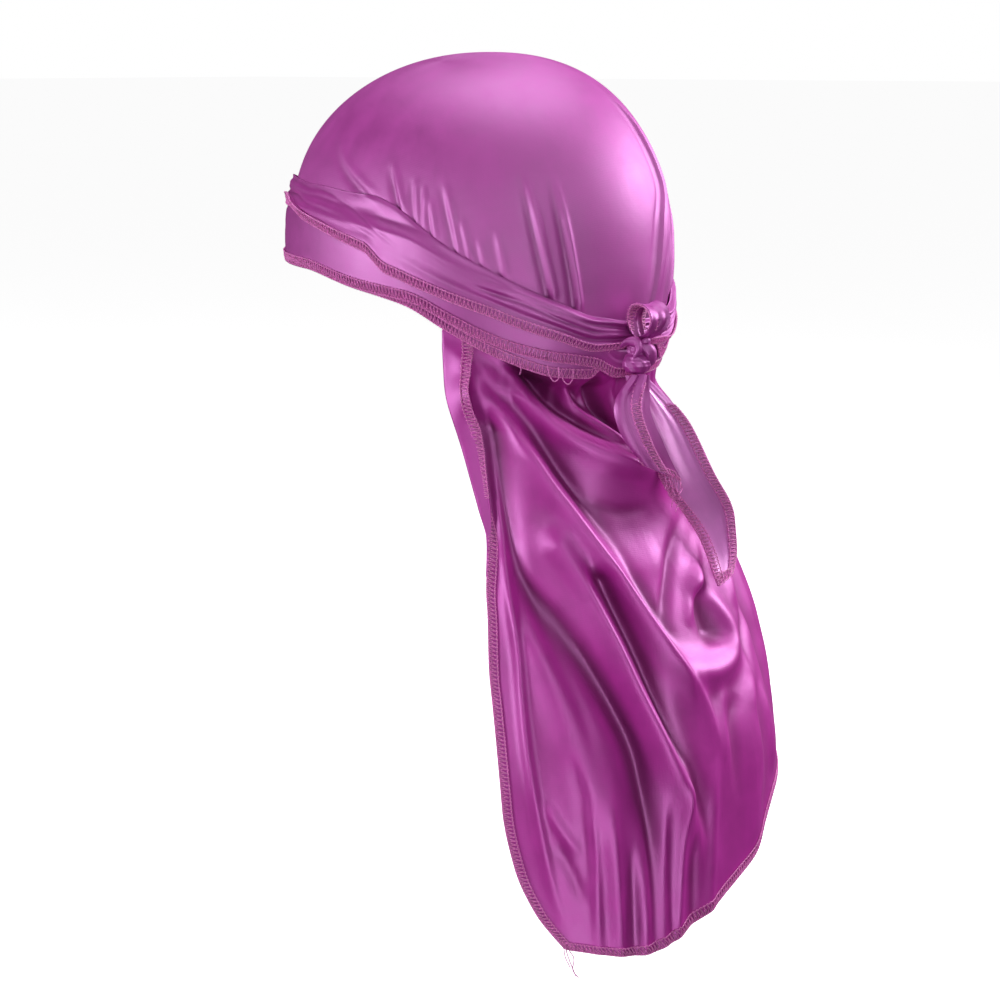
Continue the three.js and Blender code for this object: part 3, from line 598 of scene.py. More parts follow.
def add_node(tree, kind, settings=None, links=None, **values):
    """Adds a node: settings are its own options, values its sockets, links maps a socket of it to
    the (node, socket) that feeds it."""
    node = tree.nodes.new(kind)
    for key, value in (settings or {}).items():
        setattr(node, key, value)
    for key, value in values.items():
        node.inputs[key.replace("_", " ")].default_value = value
    for key, (source, output) in (links or {}).items():
        tree.links.new(source.outputs[output], node.inputs[key])
    return node


def blank_material(name):
    material = bpy.data.materials.new(name)
    material.use_nodes = True
    material.node_tree.nodes.clear()
    return material, material.node_tree


def shade_ramp(tree, source, hue, *ends):
    """Colour ramp over a node's output: each end is its position and how bright the hue is there."""
    shade = add_node(tree, "ShaderNodeValToRGB", links={"Fac": source})
    for element, (position, bright) in zip(shade.color_ramp.elements, ends):
        element.position = position
        element.color = (*[min(1, c * bright) for c in hue], 1)
    return shade


def satin_material(name, hue, roughness, bump, index, tint):
    """Polyester satin: long floats of bright filament yarn give a smooth face with broad tinted
    highlights, a soft mottle where the cloth is strained and a very fine weave. Its colour is
    darkened in the hollows of the folds as painted shade."""
    material, tree = blank_material(name)
    place = add_node(tree, "ShaderNodeUVMap", {"uv_map": "cloth"})
    thing = add_node(tree, "ShaderNodeTexCoord")
    # Dye and strain mottle about 12 mm across, and faint streaks along the warp 0.6 mm apart.
    mottle = add_node(
        tree, "ShaderNodeTexNoise", links={"Vector": (thing, "Object")},
        Scale=80.0, Detail=3.0, Roughness=0.55,
    )
    along = add_node(tree, "ShaderNodeMapping", links={"Vector": (place, "UV")})
    along.inputs["Scale"].default_value = (1600.0, 60.0, 1.0)
    streak = add_node(
        tree, "ShaderNodeTexNoise", links={"Vector": (along, "Vector")},
        Scale=1.0, Detail=2.0, Roughness=0.5,
    )
    both = add_node(
        tree, "ShaderNodeMath", {"operation": "MULTIPLY_ADD"}, {"Value": (streak, "Fac")},
    )
    both.inputs[1].default_value = 0.35
    tree.links.new(mottle.outputs["Fac"], both.inputs[2])
    shade = shade_ramp(tree, (both, "Value"), hue, (0.35, 0.86), (0.95, 1.12))
    rough = add_node(tree, "ShaderNodeMapRange", links={"Value": (both, "Value")})
    for socket, value in (
        ("From Min", 0.3), ("From Max", 1.0), ("To Min", roughness - 0.05), ("To Max", roughness + 0.06),
    ):
        rough.inputs[socket].default_value = value
    # The weave's real pitch of 0.12 mm is too fine to show, so it is drawn at 0.55 mm.
    weave_scale = 2 * math.pi / 20 / 0.00055
    warp = add_node(
        tree, "ShaderNodeTexWave", {"bands_direction": "X"}, {"Vector": (place, "UV")},
        Scale=weave_scale, Distortion=1.5, Detail=1.0,
    )
    weft = add_node(
        tree, "ShaderNodeTexWave", {"bands_direction": "Y"}, {"Vector": (place, "UV")},
        Scale=weave_scale * 0.7, Distortion=2.0, Detail=1.0,
    )
    weave = add_node(tree, "ShaderNodeMath", {"operation": "MULTIPLY"}, {0: (warp, "Fac"), 1: (weft, "Fac")})
    # Strain puckers about 4 mm across, as wrinkled satin shows between its folds.
    pucker = add_node(
        tree, "ShaderNodeTexNoise", links={"Vector": (thing, "Object")},
        Scale=230.0, Detail=2.0, Roughness=0.5,
    )
    raise_weave = add_node(
        tree, "ShaderNodeBump", links={"Height": (weave, "Value")}, Strength=bump, Distance=0.00005,
    )
    raise_all = add_node(
        tree, "ShaderNodeBump", links={"Height": (pucker, "Fac"), "Normal": (raise_weave, "Normal")},
        Strength=0.12, Distance=0.0006,
    )
    # Painted shade: the colour is darkened towards a deep hue by how far the point lies in a hollow of the
    # folds.
    hollow = add_node(tree, "ShaderNodeAttribute", {"attribute_name": "hollow"})
    painted_fold_shade = add_node(
        tree, "ShaderNodeMix", {"data_type": "RGBA"}, {0: (hollow, "Fac"), 6: (shade, "Color")},
    )
    painted_fold_shade.inputs[7].default_value = (*[c * c * 0.5 + c * 0.22 for c in hue], 1)
    shader = add_node(
        tree, "ShaderNodeBsdfPrincipled",
        links={
            "Base Color": (painted_fold_shade, 2), "Roughness": (rough, "Result"),
            "Normal": (raise_all, "Normal"),
        },
        Metallic=0.0, IOR=index, Anisotropic=0.3,
    )
    shader.inputs["Specular IOR Level"].default_value = 1.0
    shader.inputs["Specular Tint"].default_value = (1.0, tint, 0.97, 1)
    shader.inputs["Sheen Weight"].default_value = 0.02
    shader.inputs["Sheen Roughness"].default_value = 0.4
    shader.inputs["Sheen Tint"].default_value = (1.0, 0.62, 0.95, 1)
    add_node(tree, "ShaderNodeOutputMaterial", links={"Surface": (shader, "BSDF")})
    return material


def thread_material(name, hue):
    """Spun polyester overlock thread: matt, slightly redder than the cloth, darker in its twist."""
    material, tree = blank_material(name)
    thing = add_node(tree, "ShaderNodeTexCoord")
    # The twist's real pitch of 0.5 mm is drawn as it is.
    twist = add_node(
        tree, "ShaderNodeTexNoise", links={"Vector": (thing, "Object")}, Scale=1800.0, Detail=1.0,
    )
    shade = shade_ramp(tree, (twist, "Fac"), hue, (0.35, 0.6), (0.7, 1.35))
    lift = add_node(
        tree, "ShaderNodeBump", links={"Height": (twist, "Fac")}, Strength=0.4, Distance=0.0001,
    )
    shader = add_node(
        tree, "ShaderNodeBsdfPrincipled",
        links={"Base Color": (shade, "Color"), "Normal": (lift, "Normal")},
        Roughness=0.6, Metallic=0.0,
    )
    shader.inputs["Sheen Weight"].default_value = 0.3
    add_node(tree, "ShaderNodeOutputMaterial", links={"Surface": (shader, "BSDF")})
    return material


def material_for(kind):
    """The durag's materials, each made once: satin stretched on the crown, the same satin hanging
    slack, which scatters more light, in a lighter colour that is painted light for the cape, which
    the lamps reach less, the straps' folded satin, a paler copy of it at the long end, whose
    paleness is painted light for the light that its single layer lets through, and thread."""
    cloth = bpy.context.scene.durag_cloth
    found = bpy.data.materials.get(kind)
    if found:
        return found
    if kind == "overlock_thread":
        return thread_material(kind, cloth.thread)
    if kind == "polyester_satin_stretched":
        return satin_material(kind, cloth.satin, 0.54, 0.5, 2.2, 0.48)
    # The cape's lighter copy of the satin is painted light.
    if kind == "polyester_satin_hanging_painted_light":
        return satin_material(kind, cloth.hanging_satin_painted_light, 0.46, 0.5, 1.85, 0.42)
    # The long end's paler copy of the strap satin is painted light.
    if kind == "strap_satin_sheer_painted_light":
        return satin_material(kind, cloth.sheer_satin_painted_light, 0.42, 0.5, 2.2, 0.6)
    return satin_material(kind, cloth.strap_satin, 0.5, 0.5, 2.1, 0.46)


def tuck_relief(angle, level):
    """Height of the crown's tucks: a ridge exp(-(d/w)^2) along each line and a wider, softer
    valley two widths to the left of it, fading out at the upper end."""
    scale = MM_PER_DEGREE * 0.95
    x, y = -angle * scale, -level
    height = np.zeros(x.shape)
    for line, ridge, valley, width in CROWN_TUCKS:
        flat = [(-a * scale, -z) for a, z in line]
        gap, side, along = off_line(x, y, spline(flat, 6 * (len(flat) - 1) + 1))
        signed = gap * side
        fade = smooth(along, 0, 0.45)
        crest = ridge * np.exp(-((signed / width) ** 2))
        trough = 0.75 * valley * np.exp(-(((signed - 2.0 * width) / (1.5 * width)) ** 2))
        height = height + (crest + trough) * fade
    return height


def seam_relief(angle, level):
    """Height along the back seam: a narrow rib where the two panels are joined, with a soft
    hollow on the wearer's left and a low flap of the seam allowance on the right."""
    off = (angle - follow(SEAM, level / CROWN_HEIGHT, 1)) * MM_PER_DEGREE * 0.93
    rib = 1.3 * np.exp(-((off / 1.2) ** 2))
    hollow = -1.5 * np.exp(-(((off - 5.5) / 4) ** 2))
    flap = 1.0 * np.exp(-(((off + 7) / 3) ** 2)) - 0.9 * np.exp(-(((off + 12.5) / 2.5) ** 2))
    return (rib + (hollow + flap) * smooth(level, 5, 40)) * smooth(112 - level, 0, 30)


def strap_path(name):
    rows = FIRST_PASS + NAPE_CROSSING[name] + SECOND_PASS + FOREHEAD_CROSSING[name] + THIRD_PASS
    return np.array(rows, float)


def strap_top(angle):
    """Level of the upper edge of the outer turn of the straps at an angle."""
    gone = 360 - np.abs(angle)
    path = strap_path("left")
    reach = follow(path, gone, 1) + follow(path, gone, 2)
    return rim_level(angle) + reach * STRAP_WIDTH


def crown_points(side, columns, rows, cloth):
    """Outer face of one half of the crown. Across: from the centre seam at the back (0) to the
    seam at the forehead (1). Up: from the rim (0) to the top (1), as the sine of a quarter turn.
    The cloth's own place of a point is its angle and the length of the way up to it."""
    u, v = shares(columns, rows)
    rise = np.sin(v * np.pi / 2)

    def edge(angle):
        behind = 1 - smooth(np.abs(angle), CAPE_HALF_ANGLE + 7, CAPE_HALF_ANGLE + 14)
        return rim_level(angle) + (CAPE_TUCK + GAP) * behind

    low = edge(np.zeros(1))
    first = follow(SEAM, (low + (CROWN_HEIGHT - low) * rise) / CROWN_HEIGHT, 1)
    angle = blend(first, side * 180, u)
    level = edge(angle) + (CROWN_HEIGHT - edge(angle)) * rise
    fine = tuck_relief(angle, level)
    over = smooth(level - strap_top(angle), -1.0, 4.0)
    fine = np.where(fine > 0, fine * over, fine) + seam_relief(angle, level)
    front = np.exp(-(((180 - np.abs(angle)) * MM_PER_DEGREE * 0.9 / 1.4) ** 2))
    fine = fine + 0.7 * front * smooth(level - strap_top(angle), 0, 5)
    fine = fine * cloth.fold_depth * (1 - v**8)
    points = head_point(angle, level, fine)
    points[..., 0] += side * 0.02
    steps = np.linalg.norm(np.diff(head_point(angle, level, 0 * fine), axis=1), axis=-1)
    climb = np.cumsum(np.pad(steps, ((0, 0), (1, 0))), axis=1)
    flat = np.stack([angle * MM_PER_DEGREE, climb], -1) * 0.001
    # The tucks' and seam's relief gives the mask of the painted shade in their hollows.
    return points, with_painted_shade(flat, fine, 1.8, 20)


class DURAG_OT_crown(Operator):
    """Makes the two satin panels of the crown, with their centre seam and tucks"""
    bl_idname = "durag.crown"
    bl_label = "Crown panels"

    def execute(self, context):
        cloth = context.scene.durag_cloth
        satin = material_for("polyester_satin_stretched")
        for side, name in ((1, "left"), (-1, "right")):
            points, flat = crown_points(side, *CROWN_GRID, cloth)
            up = np.array([0.0, 0.0, 1.0])
            part = shell(points, cloth.thickness * 1000, -side, flat, turn_up=up, coarse=2)
            panel = make_piece(f"crown_panel_{name}", [part], satin, [f"crown_{name}"])
        return {"FINISHED"}


def lapel_points(columns, rows, cloth):
    """Edge of the cape that is turned outwards at its upper left: a half round turn at the
    contour, then a flat strip back over the cape whose free edge lifts a little."""
    v = np.linspace(0, TURNED_ROWS, rows)[None, :] + np.zeros((columns, 1))
    down = v**ROW_SPREAD
    contour = CAPE_HALF_ANGLE * follow(CAPE_SIDES, down, 1)
    top = rim_level(contour) + CAPE_TUCK
    level = blend(top, -CAPE_DROP * follow(HEM, contour, 1), down)
    width = follow(LAPEL, -level / CAPE_DROP, 1)
    turn_columns = 9
    w = np.concatenate([np.linspace(0, 1, turn_columns), np.linspace(0, 1, columns - turn_columns + 1)[1:]])
    turning = (np.arange(columns) < turn_columns)[:, None]
    w = w[:, None] + np.zeros((1, rows))
    radius = 0.75 * smooth(width, 0.3, 3.0) + 0.06
    theta = np.where(turning, w * np.pi, np.pi)
    back = np.where(turning, 0, w)
    angle = contour + (radius * np.sin(theta)) / 1.36 - back * width
    out = radius * (1 - np.cos(theta)) + 1.1 * back**2 * smooth(width, 0.5, 5)
    out = out * smooth(rim_level(angle) - level, 1, 9)
    points = cape_place(angle, level, 0 * out, cloth)
    # The strip lies off the cape along the cape's own normal, taken level round the contour.
    ahead = cape_place(angle + 0.5, level, 0 * out, cloth)
    behind = cape_place(angle - 0.5, level, 0 * out, cloth)
    across = unit((ahead - behind)[..., :2])
    points[..., 0] -= across[..., 1] * out
    points[..., 1] += across[..., 0] * out
    flat = np.stack([(contour + back * width + w) * 1.4, level], -1) * 0.001
    return points, flat


class DURAG_OT_cape(Operator):
    """Makes the cape with its folds, gathers and the edge turned outwards at the left"""
    bl_idname = "durag.cape"
    bl_label = "Cape"

    def execute(self, context):
        cloth = context.scene.durag_cloth
        points, angle, level = cape_grid(*shares(*CAPE_GRID), 0.0, cloth)
        flat = np.stack([angle * MM_PER_DEGREE, level], -1) * 0.001
        folds = cape_folds(angle, -level / CAPE_DROP, cloth.fold_depth)
        # The folds give the mask of the painted shade in their hollows.
        flat = with_painted_shade(flat, folds, 3.2, 150)
        main = shell(points, cloth.thickness * 1000, 1, flat, coarse=2)
        edge, edge_flat = lapel_points(*LAPEL_GRID, cloth)
        lapel = shell(edge, cloth.thickness * 1000, 1, edge_flat)
        satin = material_for("polyester_satin_hanging_painted_light")
        cape = make_piece("cape_cloth", [main, lapel], satin, ["cape"])
        return {"FINISHED"}


def strap_points(side, name, columns, rows, cloth):
    """Outer face of one strap. Along: from its start at the temple to the knot. Across: from the
    lower edge (0) to the upper one (1). Where the strap is narrower than it was cut, its cloth
    lies in lengthwise pleats; both edges dip on to what lies under them."""
    path = strap_path(name)
    u, v = shares(columns, rows)
    gone = blend(-100.0, 360 - side * KNOT_ANGLE, u)
    angle = -side * gone
    width = follow(path, gone, 2) * STRAP_WIDTH
    level = rim_level(angle) + follow(path, gone, 1) * STRAP_WIDTH + v * width
    layer = follow(path, gone, 3)
    base = GAP + (layer - 1) * (STRAP_WALL + GAP) + STRAP_WALL
    outer = smooth(layer, 2.2, 3.0)
    gathered = np.clip(1.25 - width / STRAP_WIDTH, 0, 1)
    drift = 1.3 * np.sin(np.radians(gone * 1.1)) + 0.6 * np.sin(np.radians(gone * 2.7 + 50))
    pleats = np.sin(2 * np.pi * (2.4 * v + 0.22 * drift))
    pleats = pleats + 0.5 * np.sin(2 * np.pi * (4.6 * v - 0.35 * drift) + 1)
    near_knot = smooth(gone, 318, 345)
    tall = gathered * (0.12 + 0.33 * outer) * (1 + 1.2 * near_knot)
    relief = tall * pleats + 0.25 * tall
    turn = (angle + 180) % 360 - 180
    own = np.where(side > 0, turn, -turn)
    for line, high, wide in STRAP_CREASES:
        flat = [(-a * MM_PER_DEGREE, -z) for a, z in line]
        gap, _, along = off_line(-own * MM_PER_DEGREE, -level, spline(flat, 6 * (len(flat) - 1) + 1))
        fade = smooth(along, 0, 0.25) * smooth(1 - along, 0, 0.2)
        relief = relief + high * np.exp(-((gap / wide) ** 2)) * fade * outer * (own > 0)
    relief = relief * cloth.fold_depth
    relief = np.where(layer > 2.6, relief, np.clip(relief, -0.3, 0.2))
    over = (follow(path, gone, 1) + v * follow(path, gone, 2)) - (
        follow(path, 360 - gone, 1) + follow(path, 360 - gone, 2)
    )
    settle = 2.9 * smooth(over, -0.03, 0.18) * smooth(gone, 205, 225) * smooth(352 - gone, 0, 12)
    relief = relief - settle
    from_edge = np.minimum(v, 1 - v) * width
    dip = (0.45 + 0.9 * near_knot) * np.exp(-((from_edge / 1.1) ** 2))
    points = head_point(angle, level, base + relief - dip)
    flat = np.stack([gone * MM_PER_DEGREE, v * width], -1) * 0.001
    # The pleats, creases and dipped edges give the mask of the painted shade in their hollows.
    return points, with_painted_shade(flat, relief - dip, 0.9, 8)


class DURAG_OT_straps(Operator):
    """Makes the two long straps, wound once round the head and back to the knot"""
    bl_idname = "durag.straps"
    bl_label = "Straps"

    def execute(self, context):
        cloth = context.scene.durag_cloth
        for side, name in ((1, "left"), (-1, "right")):
            points, flat = strap_points(side, name, *STRAP_GRID, cloth)
            part = shell(points, cloth.thickness * 1000, side, flat, coarse=2)
            satin = material_for("strap_satin_folded")
            strap = make_piece(f"strap_band_{name}", [part], satin, [f"strap_{name}"])
        return {"FINISHED"}


def knot_frame():
    """The knot's top on the straps, with the directions along the straps and out of the head."""
    out = GAP + 3 * STRAP_WALL + 3 * GAP
    top = head_point(np.array(KNOT_ANGLE), np.array(KNOT_TOP), out)
    beside = head_point(np.array(KNOT_ANGLE + 1), np.array(KNOT_TOP), out)
    along = unit((beside - top) * (1, 1, 0))
    return top, along, np.array([-along[1], along[0], 0.0])


def knot_place(along, out, up):
    """Point by its distance along the straps, out of the head and over the knot's top."""
    top, first, second = knot_frame()
    place = top + np.multiply.outer(along, first) + np.multiply.outer(out, second)
    return place + np.multiply.outer(np.asarray(up, float), (0, 0, 1))


def curve(points, t):
    """Centripetal spline through points at shares of its way, and its unit tangents."""
    points = np.asarray(points, float)
    last = len(points) - 1
    padded = np.concatenate([[2 * points[0] - points[1]], points, [2 * points[-1] - points[-2]]])
    p = np.clip(t, 0, 1) * last
    k = np.clip(p.astype(int), 0, last - 1)
    w = (p - k)[:, None]
    p0, p1, p2, p3 = (padded[k + i] for i in range(4))
    pairs = ((p0, p1), (p1, p2), (p2, p3))
    d0, d1, d2 = (np.linalg.norm(b - a, axis=1, keepdims=True) ** 0.5 for a, b in pairs)
    a = ((p1 - p0) / d0 - (p2 - p0) / (d0 + d1) + (p2 - p1) / d1) * d1
    b = ((p2 - p1) / d1 - (p3 - p1) / (d1 + d2) + (p3 - p2) / d2) * d1
    c2, c3 = 3 * (p2 - p1) - 2 * a - b, 2 * (p1 - p2) + a + b
    place = p1 + a * w + c2 * w**2 + c3 * w**3
    slope = a + 2 * c2 * w + 3 * c3 * w**2
    return place, unit(slope)


def ribbon(line, across, width, columns, rows, hollow, pleats, slant=0.0):
    """Grid of a ribbon along a line: its section is bowed by hollow (millimetres in the middle) and
    pleated by a sine of the share across whose height and count come from pleats. The far end is
    cut at a slant, in millimetres to each side."""
    t = np.linspace(0, 1, columns)
    place, tangent = curve(line, t)
    side = unit(across(t))
    face = unit(np.cross(tangent, side))
    v = np.linspace(-1, 1, rows)
    tall, count = pleats
    bow = np.multiply.outer(hollow(t), 1 - v**2)
    bow = bow + np.multiply.outer(tall(t), np.sin(np.pi * count * v + 0.6))
    points = place[:, None] + side[:, None] * (np.multiply.outer(width(t) / 2, v))[..., None]
    cut = np.multiply.outer(slant * t**2, v)
    points = points + face[:, None] * bow[..., None] + tangent[:, None] * cut[..., None]
    flat = np.stack([v[None, :] * (width(t) / 2)[:, None], np.linspace(0, 60, columns)[:, None] + 0 * v], -1)
    return points, flat * 0.001


def tube(points, flat):
    """Tube through rings of points in millimetres: its points in metres, faces and cloth's places."""
    index = np.arange(points.shape[0] * points.shape[1]).reshape(points.shape[:2])
    after = np.roll(index, -1, axis=1)
    faces = np.stack([index[:-1], after[:-1], after[1:], index[1:]], -1).reshape(-1, 4)
    return points.reshape(-1, 3) * 0.001, [faces[:, ::-1]], flat.reshape(-1, 2)


def sausage(line, thick, swell, squash, columns, around, grooves, roll):
    """Closed bundle of cloth along a line: a tube whose section is an oval with lengthwise
    grooves that turn round it by roll, closed to a point at both ends."""
    t = np.linspace(0, 1, columns)
    radius = thick * np.sin(np.pi * np.clip(t, 0.001, 0.999)) ** swell
    place, tangent = curve([knot_place(*point) for point in line], t)
    out = knot_frame()[2]
    side = unit(np.cross(tangent, out))
    face = np.cross(side, tangent)
    turn = np.linspace(0, 2 * np.pi, around, endpoint=False)
    phase = turn[None, :] + roll * t[:, None]
    size = radius[:, None] * (1 - 0.13 * np.abs(np.sin(grooves * phase / 2)) ** 0.7)
    points = place[:, None] + side[:, None] * (size * np.cos(turn))[..., None]
    points = points + face[:, None] * (size * squash * np.sin(turn))[..., None]
    flat = np.stack([turn[None, :] * radius[:, None], 20 * t[:, None] + 0 * turn], -1) * 0.001
    return tube(points, flat)


def ball(columns, rows):
    """The knot's main ball: its outline turned about the knot's middle, with spiral grooves
    between the wraps and fine creases along them."""
    rise = (1 - np.cos(np.pi * np.linspace(0, 1, rows))) / 2
    turn = np.linspace(0, 2 * np.pi, columns, endpoint=False)
    t, r = np.meshgrid(turn, rise, indexing="ij")
    wrap = 3 * t + 5 * r
    groove = 1 - 0.2 * np.abs(np.sin(wrap / 2)) ** 6
    groove = groove - 0.03 * np.sin(3 * wrap) - 0.02 * np.sin(14 * r * np.pi)
    radius = follow(KNOT_OUTLINE, r, 1) * groove
    along = KNOT_WIDTH / 2 * radius * np.cos(t)
    out = KNOT_DEPTH / 2 * (1 + radius * np.sin(t))
    points = knot_place(along, out, (r - 1) * KNOT_HEIGHT)
    index = np.arange(columns * rows).reshape(columns, rows)
    after = np.roll(index, -1, axis=0)
    faces = np.stack([index[:, :-1], after[:, :-1], after[:, 1:], index[:, 1:]], -1).reshape(-1, 4)
    flat = np.stack([t * 7, r * 16], -1) * 0.001
    return points.reshape(-1, 3) * 0.001, [faces], flat.reshape(-1, 2)


def loop_line():
    aside = -LOOP_WIDTH / 4
    points = [knot_place(aside, GAP + STRAP_WALL / 2 + out * LOOP_REACH, GAP + up * LOOP_HEIGHT)
              for out, up in LOOP_LINE]
    first = knot_place(aside, KNOT_DEPTH / 2 - STRAP_WALL, GAP)
    last = knot_place(aside, KNOT_DEPTH / 2 + STRAP_WALL, GAP)
    return [first, *points, last]


def loop_points():
    """Face of the loop that the second strap leaves over the knot, pinched where it enters it."""
    _, along, _ = knot_frame()
    return ribbon(
        loop_line(), lambda t: np.tile(along, (len(t), 1)),
        lambda t: LOOP_WIDTH * (0.55 + 0.45 * np.sin(np.pi * t) ** 0.6), 90, 18,
        lambda t: 1.2 * np.sin(np.pi * t), (lambda t: 0.7 * (1 - np.sin(np.pi * t)) + 0.1, 2.5),
    )


def end_line(rows, drop, seat):
    foot = -KNOT_HEIGHT - GAP
    start = knot_place(0, seat * KNOT_DEPTH, foot)
    down = rows[1:, 0] * drop
    rest = cape_section(rows[1:, 1], start[2] - down, rows[1:, 2] * KNOT_DEPTH)
    return np.concatenate([[start], rest])


class DURAG_OT_knot(Operator):
    """Makes the knot, its loop and the two loose ends"""
    bl_idname = "durag.knot"
    bl_label = "Knot, loop and ends"

    def execute(self, context):
        cloth = context.scene.durag_cloth
        satin = material_for("strap_satin_folded")
        wall = cloth.thickness * 1000
        wraps = [ball(72, 60), *(sausage(*wrap) for wrap in KNOT_WRAPS)]
        knot = make_piece("knot_wraps", wraps, satin, ["knot"])
        points, flat = loop_points()
        loop = make_piece("loop_band", [shell(points, wall, 1, flat)], satin, ["knot_loop"])
        # The long end takes the paler strap satin, whose paleness is painted light.
        for name, kind in (("short", "strap_satin_folded"), ("long", "strap_satin_sheer_painted_light")):
            points, flat = end_points(name)
            parts = [shell(points, wall, 1, flat)]
            if name == "short":
                strip = turned_strip(points)
                parts.append(shell(strip, wall, 1, flat[:, :strip.shape[1]]))
            node = f"tie_end_{name}"
            end = make_piece(f"{name}_end_band", parts, material_for(kind), [node])
        return {"FINISHED"}


def turned_strip(points):
    """Edge of the short end that is turned over at its left contour: a half round turn, then a
    flat strip over the end up to 0.66 of its width."""
    w = np.linspace(0, 1, 9)
    across = w * 0.66 * (points.shape[1] - 1)
    low = np.clip(across.astype(int), 0, points.shape[1] - 2)
    share = (across - low)[None, :, None]
    out = normals(points)
    strip = blend(points[:, low], points[:, low + 1], share)
    lift = 0.15 + 1.3 * np.minimum(1, w / 0.25) ** 0.5
    return strip + blend(out[:, low], out[:, low + 1], share) * lift[:, None]


def end_points(name):
    """Outer face of a loose end, bunched under the knot and opening out downwards."""
    rows, drop, width, seat, slant = ENDS[name]

    def across(t):
        turn = np.radians(follow(rows, t, 4))
        return np.stack([-np.cos(turn), np.sin(turn), 0 * turn], -1)

    return ribbon(
        end_line(rows, drop, seat), across, lambda t: follow(rows, t, 3) * width, *END_GRID,
        lambda t: 1.6 * np.exp(-((t / 0.45) ** 2)) + 0.9 * np.sin(np.pi * t),
        (lambda t: 1.0 * np.exp(-((t / 0.3) ** 2)) + 0.12, 2.2), slant,
    )


def along_edge(points, inner, face, spacing):
    """Places, inward directions and normals at even steps along an edge."""
    gone = np.concatenate([[0], np.cumsum(np.linalg.norm(np.diff(points, axis=0), axis=1))])
    count = max(2, int(gone[-1] / spacing))
    at = np.arange(count) * (gone[-1] / count)

    def sample(values):
        return np.stack([np.interp(at, gone, values[:, k]) for k in range(3)], -1)

    place = sample(points)
    inward = unit(sample(inner - points))
    normal = sample(face)
    return place, inward, unit(normal - inward * (normal * inward).sum(1, keepdims=True))


def thread_tube(path, normal, radius, sides):
    """Tube of a thread along a path: rings square to the path, closed by its last rings' centres."""
    tangent = unit(np.gradient(path, axis=0))
    side = unit(np.cross(tangent, normal))
    up = np.cross(side, tangent)
    turn = np.linspace(0, 2 * np.pi, sides, endpoint=False)
    ring = side[:, None] * np.cos(turn)[None, :, None] + up[:, None] * np.sin(turn)[None, :, None]
    size = np.full(len(path), radius)
    size[0] = size[-1] = radius * 0.02
    points = path[:, None] + ring * size[:, None, None]
    return tube(points, np.zeros((*points.shape[:2], 2)))


def overlock(points, inner, face, stitch, lift=0.25):
    """Overlock stitches on an edge: one thread goes to and fro between the edge and the needle
    line, round the edge and back, and two more run along the needle line and along the edge."""
    pitch, band = stitch.pitch * 1000, stitch.band * 1000
    radius = stitch.thread * 500
    place, inward, normal = along_edge(points, inner, face, pitch)
    step = np.roll(place, -1, axis=0) - place
    step[-1] = step[-2]

    def sewn(key, high, thick):
        path = np.stack([place + step * s + inward * i + normal * (high + n) for s, i, n in key], 1)
        around = np.repeat(normal, len(key), axis=0)
        return thread_tube(path.reshape(-1, 3), around, radius * thick, stitch.sides)

    # Points of one stitch: share of the pitch, distance from the edge, height over the cloth.
    zigzag = [
        (0.0, band, 0.18), (0.16, band * 0.5, 0.45), (0.34, 0.0, 0.21),
        (0.5, -0.35, -0.21), (0.6, 0.0, 0.18), (0.78, band * 0.5, 0.48),
    ]
    needle = [(0.0, band + 0.25, 0.35), (0.5, band - 0.25, 0.15)]
    rope = [(0.0, 0.0, 0.1), (0.5, 0.35, 0.45)]
    return [sewn(zigzag, lift, 1), sewn(needle, lift, 1.1), sewn(rope, lift * 0.5, 1.3)]


def grid_edge(points, outward, row, step=3):
    """Edge line of a grid (its first or last row), the line a few rows in, and its normals."""
    n = normals(points) * outward
    if row == 0:
        return points[:, 0], points[:, step], n[:, 1]
    return points[:, -1], points[:, -1 - step], n[:, -2]


class DURAG_OT_stitching(Operator):
    """Makes the overlock stitches along the edges of straps, cape and loose ends"""
    bl_idname = "durag.stitching"
    bl_label = "Overlock stitching"

    def execute(self, context):
        cloth, stitch = context.scene.durag_cloth, context.scene.durag_stitch
        thread = material_for("overlock_thread")
        for side, name in ((1, "left"), (-1, "right")):
            points, _ = strap_points(side, name, *STRAP_GRID, cloth)
            parts = overlock(*grid_edge(points, side, 0, 6), stitch)
            make_piece(f"strap_stitches_{name}", parts, thread, [])
        points, _, _ = cape_grid(*shares(*CAPE_GRID), 0.0, cloth)
        n = normals(points)
        edge, _ = lapel_points(*LAPEL_GRID, cloth)
        turned = -normals(edge)
        tip = int((LAPEL_GRID[1] - 1) * TURNED_STITCHES / TURNED_ROWS)
        start = int((CAPE_GRID[1] - 1) * TURNED_STITCHES)
        parts = overlock(edge[-1, :tip], edge[-4, :tip], turned[-2, :tip], stitch, lift=0.7)
        parts += overlock(points[-1, start:], points[-5, start:], n[-2, start:], stitch)
        parts += overlock(points[:, -1], points[:, -5], n[:, -2], stitch)
        parts += overlock(points[0, 8:], points[4, 8:], n[1, 8:], stitch)
        make_piece("cape_stitches", parts, thread, [])
        short, long = (end_points(name)[0] for name in ENDS)
        strip = turned_strip(short)
        parts = overlock(strip[8:, -1], strip[8:, -4], normals(strip)[8:, -1], stitch, lift=0.1)
        for row, near in ((0, 3), (-1, -4)):
            parts += overlock(long[14:, row], long[14:, near], normals(long)[14:, row], stitch)
        for end in (short, long):
            parts += overlock(end[-1], end[-8], normals(end)[-2], stitch)
        loop, _ = loop_points()
        n, middle = normals(loop), slice(10, -10)
        for row, near in ((0, 3), (-1, -4)):
            parts += overlock(loop[middle, row], loop[middle, near], n[middle, row], stitch, lift=0.1)
        make_piece("end_stitches", parts, thread, [])
        return {"FINISHED"}


def loose_thread(line, count, radius, sides):
    path, _ = curve(line, np.linspace(0, 1, count))
    return thread_tube(path, np.tile((0.3, 0.5, 0.81), (count, 1)), radius, sides)


